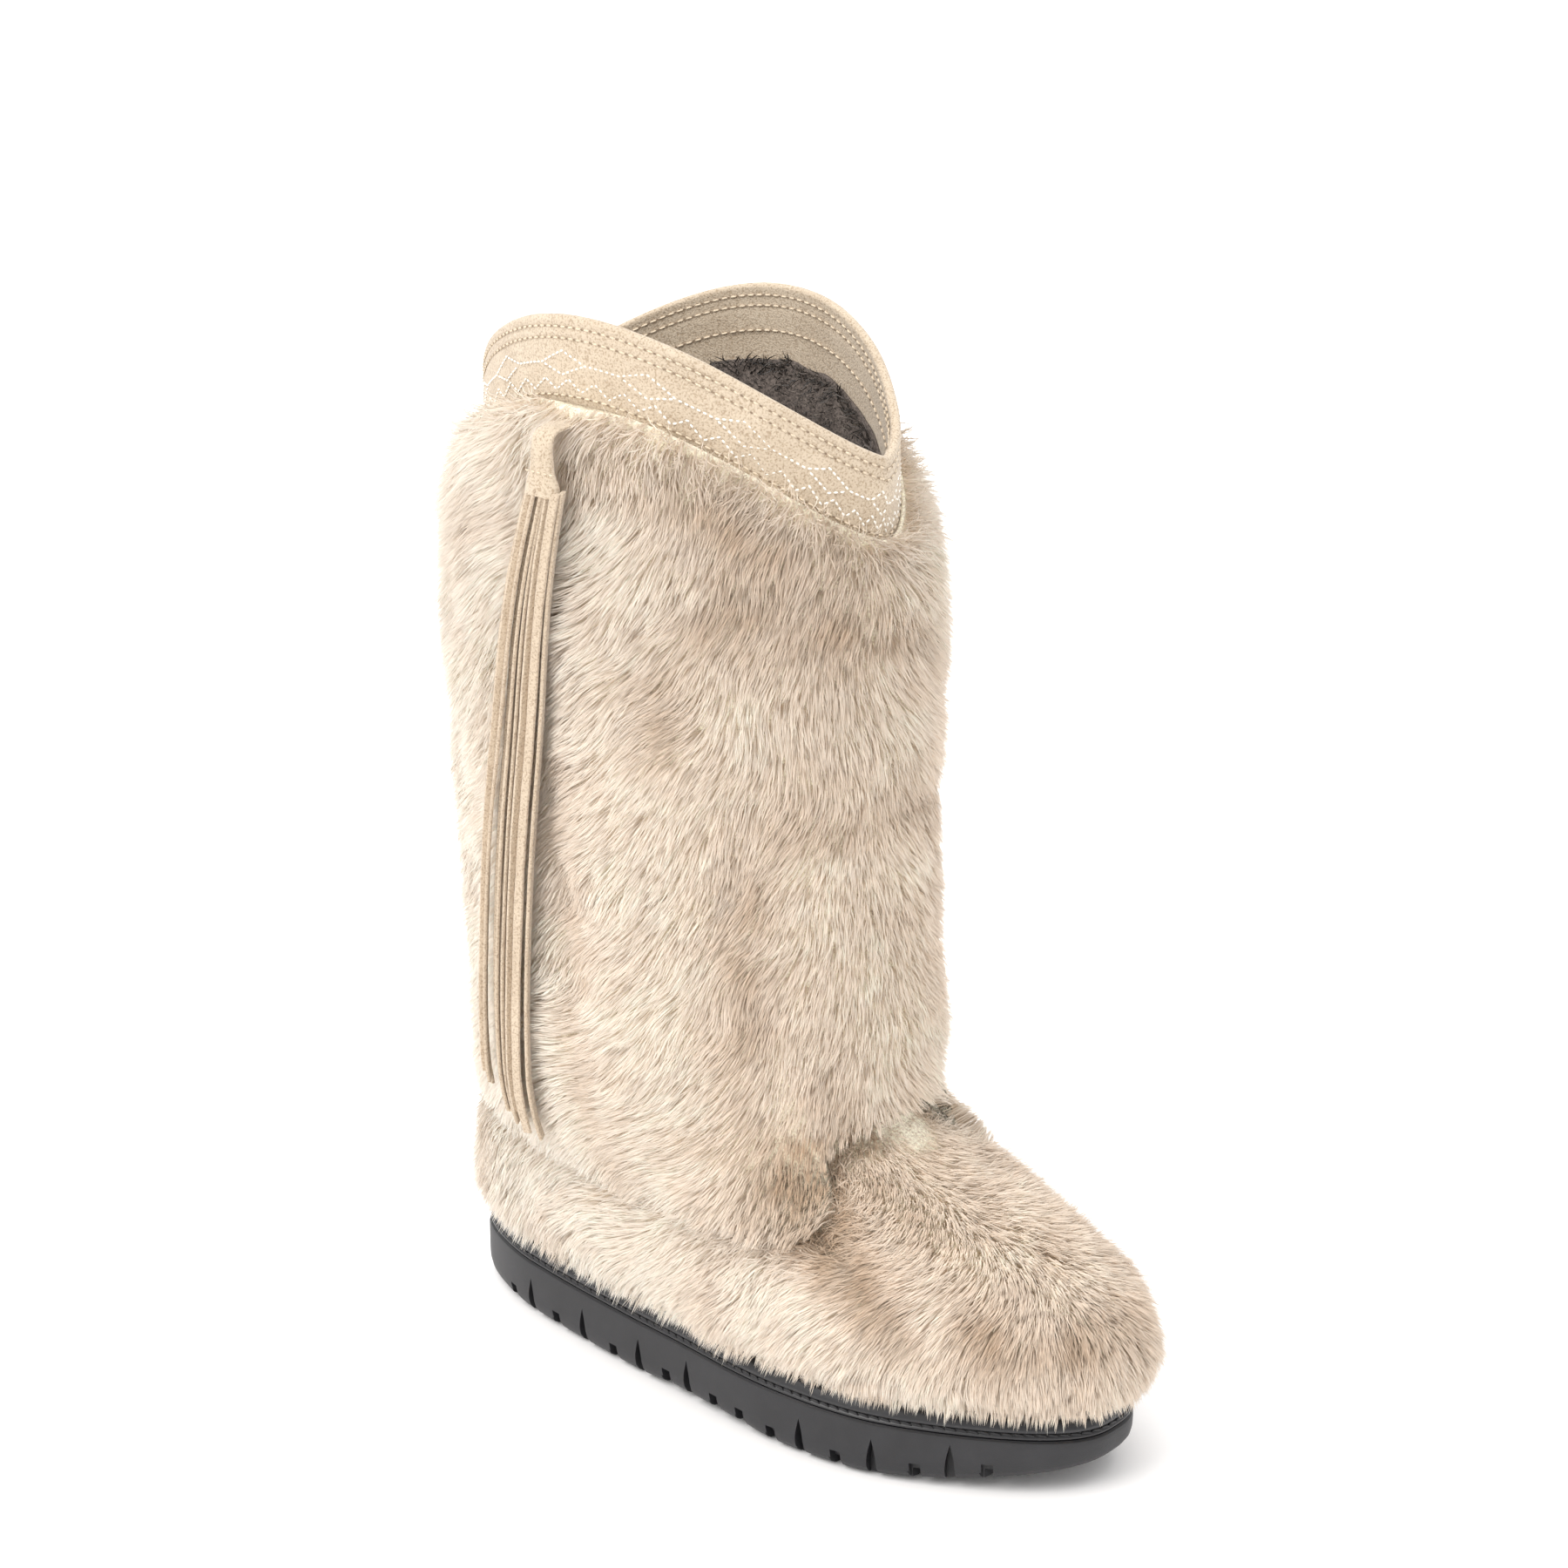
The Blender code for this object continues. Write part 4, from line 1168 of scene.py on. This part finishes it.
def build_stitching(thread, decor, hole_shade):
    """Rows of stitches around the collar, inside and out, with painted shade at their holes, and the
    pattern between them.
    """
    for name, drop, out in STITCH_ROWS:
        side = np.sign(out)
        centres, ways, outs = sew(collar_line(drop, out), STITCH_PITCH)
        piece = add_stitches(name, centres, ways, outs * side, STITCH_LENGTH, STITCH_WIDTH)
        settle(piece, thread)
        # painted shade where each stitch goes into the suede
        step = STITCH_PITCH / 2 * unit(ways)
        lifted = centres + step + outs * side * 0.00022
        piece = add_hole_shades(name + "_holes", lifted, ways, outs, STITCH_PITCH * 0.34, STITCH_WIDTH * 0.90)
        settle(piece, hole_shade)
    patterns = (
        ("stitch_diamonds_upper", diamond_drop(-1.0), 0.0),
        ("stitch_diamonds_lower", diamond_drop(1.0), DIAMOND_APART),
        ("stitch_zigzag", zigzag_drop, 0.0),
    )
    for name, drop, least in patterns:
        centres, ways, outs = sew(collar_line(drop, 0.0002), PATTERN_PITCH, least)
        piece = add_stitches(name, centres, ways, outs, PATTERN_LENGTH, PATTERN_WIDTH)
        settle(piece, decor)


def build_upper(look):
    """The suede shell under the fur; it shows as a strip above the rand."""
    angle = around(200)
    low = SOLE_THICKNESS + GAP
    shares = [*np.linspace(0, 0.10, 6)[:-1], *np.linspace(0.10, 1.0, 15)]
    top = collar_foot(angle) - GAP
    heights = [low + (top - low) * share for share in shares]
    wave = 0.0004 * noise(skin(angle, heights[3], 0.0), 0.012, 41)
    rings = [skin(angle, z, 0.0 + wave * (i < 6)) for i, z in enumerate(heights)]
    rings += [skin(angle, z, -WALL) for z in heights[::-1]]
    settle(add_wall("upper_shell", rings), look, ("upper",))


def lining_inner(angle, z):
    """How far the pile's surface lies inside the skin, lumpy."""
    return COLLAR_WALL + LINING_DEPTH + lumps(last_plan(angle, z), LINING_LUMPS)


def lining_top(angle):
    wave = 0.0012 * noise(skin(angle, rim_height(angle), 0.0), 0.010, 53)
    return rim_height(angle) - LINING_SHOWN + wave


def build_lining(pile_look, pile_hair_look):
    """Dark curly pile inside the shaft and the foot, with short hairs near the top."""
    angle = around(180)
    low = SOLE_THICKNESS + INSOLE_THICKNESS + 0.0016
    top = lining_top(angle)
    shares = 1 - (1 - np.linspace(0, 1, 40)) ** 1.5
    heights = [low + (top - low) * share for share in shares]
    reaches = []
    for i, z in enumerate(heights):
        edge = ease((1 - shares[i]) / 0.03) * ease(shares[i] / 0.02)
        thin = COLLAR_WALL + LINING_EDGE
        reaches.append(thin + (lining_inner(angle, z) - thin) * edge)
    outer = [skin(angle, z, -(COLLAR_WALL + GAP)) for z in heights]
    inner = [skin(angle, z, -reach) for z, reach in zip(heights[::-1], reaches[::-1])]
    settle(add_wall("lining_pile", outer + inner), pile_look)
    rng = np.random.default_rng(61)
    count = int(LINING_HAIRS * (1.0))
    turn = rng.random(count) * 2 * math.pi
    drop = LINING_REACH * rng.random(count) ** 1.25
    z = lining_top(turn) - drop
    base = last_plan(turn, z)
    out, along, up = skin_axes(turn, z)
    root = base - out * (lining_inner(turn, z) - 0.0022)[:, None]
    clump = np.stack([noise(base, 0.005, seed) for seed in (62, 63, 64)], axis=1)
    way = unit(-out * 0.55 + up * 0.35 + clump * 0.9 + rng.normal(0, 0.35, (count, 3)))
    length = LINING_HAIR * rng.uniform(0.6, 1.2, count)[:, None]
    tip = root + way * length
    middle = (root + tip) / 2 + rng.normal(0, 0.0006, (count, 3))
    side = unit(np.cross(way, out + rng.normal(0, 0.4, (count, 3)))) * HAIR_WIDTH * 0.55
    points = np.stack([root - side, root + side, middle - side, middle + side, tip], axis=1)
    tone = rng.uniform(0.7, 1.25, count)[:, None]
    first, last = np.array(PILE_BASE) * tone, np.array(PILE_TIP) * tone
    colours = np.stack([first, first, (first + last) / 2, (first + last) / 2, last], axis=1)
    normals = unit(-out + 0.5 * way + rng.normal(0, 0.2, (count, 3)))
    settle(add_hair("lining_hair", points, colours, normals), pile_hair_look)


def build_insole(look):
    """The footbed, covered in the same pile."""
    angle = around(160)
    low = SOLE_THICKNESS + GAP

    def ring(inset, rise):
        ring_points = skin(angle, low + rise + 0 * angle, -(WALL + INSOLE_CLEARANCE + inset))
        ring_points[:, 2] += (rise > 0.002) * 0.0005 * noise(ring_points, 0.006, 71)
        return ring_points

    top = INSOLE_THICKNESS
    rings = [ring(0.0, 0.0), ring(0.0, top * 0.7), ring(top * 0.1, top * 0.92)]
    rings += [ring(inset, top) for inset in (0.0015, 0.004, 0.009, 0.016, 0.024)]
    settle(add_slab("insole_pile", rings), look, ("insole",))


# The rand's section from its foot up: shares of its step, its slope and its height. The groove for
# its stitches is a place on it.
RAND_TABLE = (
    (1.00, 0.00, 0.00),
    (0.55, 0.00, 0.06),
    (0.60, 0.00, 0.14),
    (1.60, 0.00, 0.22),
    (1.70, 0.00, 0.28),
    (0.90, 0.02, 0.36),
    (0.95, 0.12, 0.50),
    (1.00, 0.34, 0.72),
    (1.00, 0.66, 0.92),
    (1.00, 1.00, 1.00),
    (1.00, 1.30, 0.99),
)
RAND_GROOVE = (1.15, 0.0, 0.25)


def rand_ring(angle, step, slope, rise):
    x, y = sole_plan(angle, RAND_STEP * step + RAND_SLOPE * slope)
    return np.column_stack([x, y, np.full_like(x, SOLE_THICKNESS + GAP + RAND_HEIGHT * rise)])


def build_rand(look, thread):
    """The black strip around the sole's top, with a stitched groove."""
    angle = around(360)
    rings = [rand_ring(angle, *row) for row in RAND_TABLE]
    low = SOLE_THICKNESS + GAP
    for rise in (1.0, 0.5, 0.0):
        rings.append(skin(angle, low + RAND_HEIGHT * rise + 0 * angle, GAP))
    settle(add_wall("rand_strip", rings), look, ("rand",))

    def line(turn):
        return rand_ring(turn, *RAND_GROOVE)

    turn = spaced(line, RAND_STITCH_PITCH)
    centres = line(turn)
    ways = line(turn + 1e-3) - line(turn - 1e-3)
    outs = np.cross(np.array([0.0, 0.0, 1.0]), unit(ways)) * -1.0
    outs = unit(outs + np.array([0.0, 0.0, 0.5]))
    ways = unit(ways) + np.array([0.0, 0.0, 0.16])
    made = add_stitches("rand_stitches", centres, ways, outs, RAND_STITCH_LENGTH, RAND_STITCH_WIDTH)
    settle(made, thread)


def sole_ring(angle, inset, height, from_top=False):
    """A ring of the sole at a height above its underside, or below its top."""
    x, y = sole_plan(angle, inset)
    base = underside((1 - np.cos(angle)) / 2)
    z = np.full_like(x, SOLE_THICKNESS - height) if from_top else base + height
    return np.column_stack([x, y, z])


def edge_frame(share, inner):
    """A point of the sole's edge, the way along it and the way out."""
    angle = math.acos(1 - 2 * share)
    angle = angle if inner else 2 * math.pi - angle
    x, y = sole_plan(np.array([angle - 0.01, angle, angle + 0.01]))
    along = unit(np.array([x[2] - x[0], y[2] - y[0], 0.0]))
    return np.array([x[1], y[1], float(underside(share))]), along, np.array([-along[1], along[0], 0.0])


def prism(outline, place, along, out, depth):
    """A prism through the sole's side from an outline of places along and heights."""
    points = []
    for reach in (-depth, depth):
        for a, b in outline:
            points.append(place + along * a + out * reach + np.array([0.0, 0.0, b]))
    n = len(outline)
    faces = [tuple(range(n)), tuple(range(n, 2 * n))]
    faces += [(j, (j + 1) % n, n + (j + 1) % n, n + j) for j in range(n)]
    return np.array(points), faces


# A notch's half outline: shares of its height and of its width
NOTCH_LEAF = ((0.0, 1.0), (0.35, 0.98), (0.55, 0.84), (0.70, 0.62), (0.83, 0.36), (0.93, 0.14))


def notch_outline():
    """A leaf: straight below, drawn to a point at the top."""
    half = NOTCH_WIDTH / 2
    left = [(-half, -EDGE_ROUND)]
    for level, width in NOTCH_LEAF:
        left.append((-half * width, level * NOTCH_HEIGHT))
    return left + [(0.0, NOTCH_HEIGHT)] + [(-a, b) for a, b in reversed(left)]


def box_prism(low, high):
    """The corners and faces of a box."""
    corners = list(itertools.product(*zip(low, high)))
    faces = [(0, 1, 3, 2), (4, 6, 7, 5), (0, 4, 5, 1), (2, 3, 7, 6), (0, 2, 6, 4), (1, 5, 7, 3)]
    return np.array(corners), faces


def sole_cutters():
    """Channels across the tread, pointed notches in its sides and small square ticks between."""
    half = TICK_WIDTH / 2
    tick = [(-half, -EDGE_ROUND), (-half, TICK_HEIGHT), (half, TICK_HEIGHT), (half, -EDGE_ROUND)]
    made = []
    for share in TICKS:
        x, base = share * SOLE_LENGTH, float(underside(share))
        low = (x - CHANNEL_WIDTH / 2, -BALL_WIDTH, base - CHANNEL_DEPTH)
        high = (x + CHANNEL_WIDTH / 2, BALL_WIDTH, base + CHANNEL_DEPTH)
        made.append(box_prism(low, high))
    for inner in (False, True):
        made += [prism(notch_outline(), *edge_frame(share, inner), NOTCH_DEPTH) for share in NOTCHES]
        made += [prism(tick, *edge_frame(share + 0.004, inner), NOTCH_DEPTH * 0.8) for share in TICKS]
    return made


# The sole's edge: below, insets and heights as shares of its rounding; at the top, insets and drops
SOLE_FOOT = ((1.0, 0.0), (0.62, 0.08), (0.34, 0.26), (0.12, 0.58), (0.02, 1.0), (0.0, 1.4))
SOLE_TOP = ((0.0, 0.0016), (0.0003, 0.0006), (0.0011, 0.0))


def build_outsole(look):
    """The rubber sole with its rounded lower edge, notches and channels."""
    angle = around(360)
    rings = [sole_ring(angle, EDGE_ROUND * inset, EDGE_ROUND * rise) for inset, rise in SOLE_FOOT]
    rings += [sole_ring(angle, inset, drop, from_top=True) for inset, drop in SOLE_TOP]
    sole = add_slab("outsole_rubber_body", rings)
    cutters = []
    for i, (points, faces) in enumerate(sole_cutters()):
        cutter = add_piece(f"cutter_{i}", points, faces)
        step = sole.modifiers.new(cutter.name, "BOOLEAN")
        step.operation = "DIFFERENCE"
        step.solver = "EXACT"
        step.object = cutter
        cutters.append(cutter)
    graph = bpy.context.evaluated_depsgraph_get()
    made = bpy.data.meshes.new_from_object(sole.evaluated_get(graph))
    sole.modifiers.clear()
    sole.data = made
    for cutter in cutters:
        bpy.data.objects.remove(cutter)
    made.shade_smooth()
    made.set_sharp_from_angle(angle=math.radians(32))
    settle(sole, look, ("outsole",))


def on_fur(x, z, lift):
    """A point lift clear of the tips of the fur, on the outer side."""
    angle = outer_angle(x, z)
    return skin(angle, z, fur_depth(angle, z) + TASSEL_CLEARANCE + lift)


def tassel_frame():
    """Where the tassel's strap leaves the collar, and the way across the strap."""
    angle = tassel_angle()
    root = skin(angle, fur_top(np.array(angle)) + STRAP_RISE - STRAP_SINK, GAP)
    out = skin(angle, root[2], FUR_DEPTH) - root
    out[2] = 0.0
    out = unit(out)
    return root, np.array([-out[1], out[0], 0.0])


def smooth_path(path, rounds):
    """A path with its corners cut twice as often each round, and its ends kept."""
    path = np.asarray(path)
    for _ in range(rounds):
        near = path[:-1] * 0.75 + path[1:] * 0.25
        far = path[:-1] * 0.25 + path[1:] * 0.75
        middle = np.stack([near, far], axis=1).reshape(-1, 3)
        path = np.concatenate([path[:1], middle, path[-1:]])
    return path


def ribbon(path, widths, depths, across, twist=0.0):
    """A strip with rounded edges along a path: points and faces."""
    section = [(-1, -0.4), (-0.8, -1), (0.8, -1), (1, -0.4), (1, 0.4), (0.8, 1), (-0.8, 1), (-1, 0.4)]
    points = []
    for i, place in enumerate(path):
        ahead = unit(path[min(i + 1, len(path) - 1)] - path[max(i - 1, 0)])
        square = unit(np.cross(ahead, across))
        side = across * math.cos(twist) + square * math.sin(twist)
        square = unit(np.cross(ahead, side))
        for a, b in section:
            points.append(place + side * a * widths[i] / 2 + square * b * depths[i] / 2)
    faces = ring_faces(len(path), 8, False)
    faces += [tuple(range(8)), tuple(range(8 * len(path) - 8, 8 * len(path)))]
    return np.array(points), faces


def tassel_line():
    """The tab's path: out over the fur's edge and down its outside."""
    root, across = tassel_frame()
    x, z = root[0], root[2]
    edge = on_fur(x, z, 0.0)
    path = [root, root * 0.4 + edge * 0.6, edge]
    path[1][2] = path[2][2] = z
    for drop in (0.18, 0.60, 1.0):
        path.append(on_fur(x, z - TAB_LENGTH * drop, TAB_THICKNESS / 2))
    return path, across


def build_tab(look, path, across):
    """The folded tab, widening towards its foot."""
    smooth = smooth_path(path, 3)
    run = np.concatenate([[0], np.cumsum(np.linalg.norm(np.diff(smooth, axis=0), axis=1))])
    places, widths, flares, depths = np.transpose(TAB_TABLE)
    run = run / run[-1]
    widths = np.interp(run, places, TAB_WIDTH * widths + TAB_FLARE * flares)
    points, faces = ribbon(smooth, widths, np.interp(run, places, depths), across)
    settle(add_piece("tassel_tab_suede", points, faces, 50), look, ("tassel_tab",))


def build_tab_stitches(look, root, across):
    """A row of five stitches across the tab."""
    z = root[2] - TAB_LENGTH * 0.62
    places = np.linspace(-0.42, 0.42, 5) * TAB_WIDTH * 1.15
    centres = np.array([on_fur(root[0] + a, z, TAB_THICKNESS * 0.93) for a in places])
    ways = np.repeat(across[None], 5, axis=0)
    outs = np.repeat(np.cross(across, [0.0, 0.0, 1.0])[None] * -1.0, 5, axis=0)
    outs *= np.sign((outs * (centres - np.array([0.09, 0.0, 0.0]))).sum(axis=1))[:, None]
    made = add_stitches("tassel_stitches", centres, ways, outs, TAB_STITCH_LENGTH, TAB_STITCH_WIDTH)
    settle(made, look)


def strip_path(x, z, row, phase):
    """A strip's middle line: it fans out, drifts, bows and waves a little as it hangs."""
    side, depth, drift, bow, length, _ = row
    path = []
    for t in np.linspace(0, 1, STRIP_POINTS):
        shift = side * STRIP_SPACING * (1 + STRIP_FAN * t) + drift * t * t * 0.8
        shift += bow * math.sin(math.pi * t) + 0.10 * math.sin(9 * t + phase) * t
        low = z + 0.003 - t * STRIP_LENGTH * length
        lift = TAB_THICKNESS / 2 + STRIP_THICKNESS * depth * (0.8 + 0.2 * t)
        lift -= TASSEL_CLEARANCE * 0.4 * min(t * 3, 1)
        lean = TASSEL_LEAN * (1 - (1 - t) ** 1.6)
        path.append(on_fur(x + shift * STRIP_WIDTH - lean, low, lift))
    return path


def build_tassel(tab_look, strip_look, thread):
    """The tab with its stitches, and the long cut strips."""
    path, across = tassel_line()
    build_tab(tab_look, path, across)
    build_tab_stitches(thread, path[0], across)
    x, z = path[-1][0], path[-1][2] - GAP * 2
    rng = np.random.default_rng(81)
    points, faces, total = [], [], 0
    depths = [STRIP_THICKNESS] * STRIP_POINTS
    for row in STRIP_TABLE:
        middle = strip_path(x, z, row, rng.random() * 6.28)
        widths = STRIP_WIDTH * 0.82 * (1 + 0.10 * noise(np.array(middle), 0.003, 82))
        made = ribbon(middle, widths, depths, across, math.radians(row[-1]))
        points.append(made[0])
        faces += [tuple(v + total for v in face) for face in made[1]]
        total += len(made[0])
    fringe = add_piece("tassel_strips", np.concatenate(points), faces, 45)
    settle(fringe, strip_look, ("tassel_fringe",))


def add_floor():
    """A plain pale floor."""
    size = 8.0
    mesh = bpy.data.meshes.new("floor")
    corners = [(-size, -size, 0), (size, -size, 0), (size, size, 0), (-size, size, 0)]
    mesh.from_pydata(corners, [], [(0, 1, 2, 3)])
    floor = bpy.data.objects.new("floor", mesh)
    bpy.context.scene.collection.objects.link(floor)
    look = new_material("floor", 0.8)
    surface = look.node_tree.nodes["Principled BSDF"]
    surface.inputs["Base Color"].default_value = (*FLOOR_COLOUR, 1.0)
    surface.inputs["Specular IOR Level"].default_value = 0.1
    mesh.materials.append(look)


def add_sun(name, azimuth, elevation, strength, spread, colour):
    """A soft light from far away, from an azimuth as the camera's and an elevation."""
    data = bpy.data.lights.new(name, "SUN")
    data.energy = strength
    data.angle = math.radians(spread)
    data.color = colour
    lamp = bpy.data.objects.new(name, data)
    lamp.rotation_euler = look_from(azimuth, elevation).to_track_quat("Z", "Y").to_euler()
    bpy.context.scene.collection.objects.link(lamp)


def look_from(azimuth, elevation):
    """The way towards a viewer: azimuth 0 stands at -Y, and 90 at +X."""
    a, e = math.radians(azimuth), math.radians(elevation)
    return Vector((math.sin(a) * math.cos(e), -math.cos(a) * math.cos(e), math.sin(e)))


def add_camera():
    data = bpy.data.cameras.new("camera")
    data.sensor_width = 36.0
    data.lens = CAMERA_LENS
    data.shift_x, data.shift_y = CAMERA_SHIFT
    camera = bpy.data.objects.new("camera", data)
    back = look_from(CAMERA_AZIMUTH, CAMERA_ELEVATION)
    camera.location = Vector(CAMERA_TARGET) + back * CAMERA_DISTANCE
    camera.rotation_euler = back.to_track_quat("Z", "Y").to_euler()
    bpy.context.scene.collection.objects.link(camera)
    bpy.context.scene.camera = camera


def add_studio():
    """Soft even light from above and from the left, and a pale world."""
    world = bpy.data.worlds.new("studio")
    world.use_nodes = True
    sky = world.node_tree.nodes["Background"]
    sky.inputs["Color"].default_value = (*WORLD_COLOUR, 1.0)
    sky.inputs["Strength"].default_value = WORLD_STRENGTH
    bpy.context.scene.world = world
    for sun in SUNS:
        add_sun(*sun)
    bpy.context.scene.view_settings.view_transform = "Standard"


def main():
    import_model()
    add_camera()
    add_floor()
    add_studio()
    suede = suede_material("suede_nap", SUEDE_COLOUR, SUEDE_SHADE)
    strips = suede_material("suede_strips", STRIP_COLOUR, STRIP_SHADE)
    thread = plain_noise_material("collar_thread", THREAD_COLOUR, 0.8, 0.0006, 0.15, 0.0001)
    decor = plain_noise_material("pattern_thread", DECOR_COLOUR, 0.6, 0.0006, 0.06, 0.0001)
    hole_shade = plain_noise_material("stitch_hole_shade", HOLE_SHADE_COLOUR, 0.95, 0.0006, 0.2, 0.0001)
    black = plain_noise_material("rand_thread", RAND_COLOUR, 0.5, 0.0004, 0.3, 0.0002)
    coat = plain_noise_material("fur_undercoat", COAT_COLOUR, 0.95, 0.0009, 0.3, 0.0008)
    pile = plain_noise_material("lining_pile", PILE_BASE, 0.95, 0.0009, 0.5, 0.0010)
    build_outsole(rubber_material())
    build_rand(rand_material(), black)
    build_insole(pile)
    build_upper(suede)
    build_lining(pile, hair_material("lining_hair", 0.8, 0.10))
    build_collar(suede)
    build_stitching(thread, decor, hole_shade)
    build_fur(hair_material("fur_hair", 0.75, 0.35), coat)
    build_tassel(suede, strips, thread)


main()
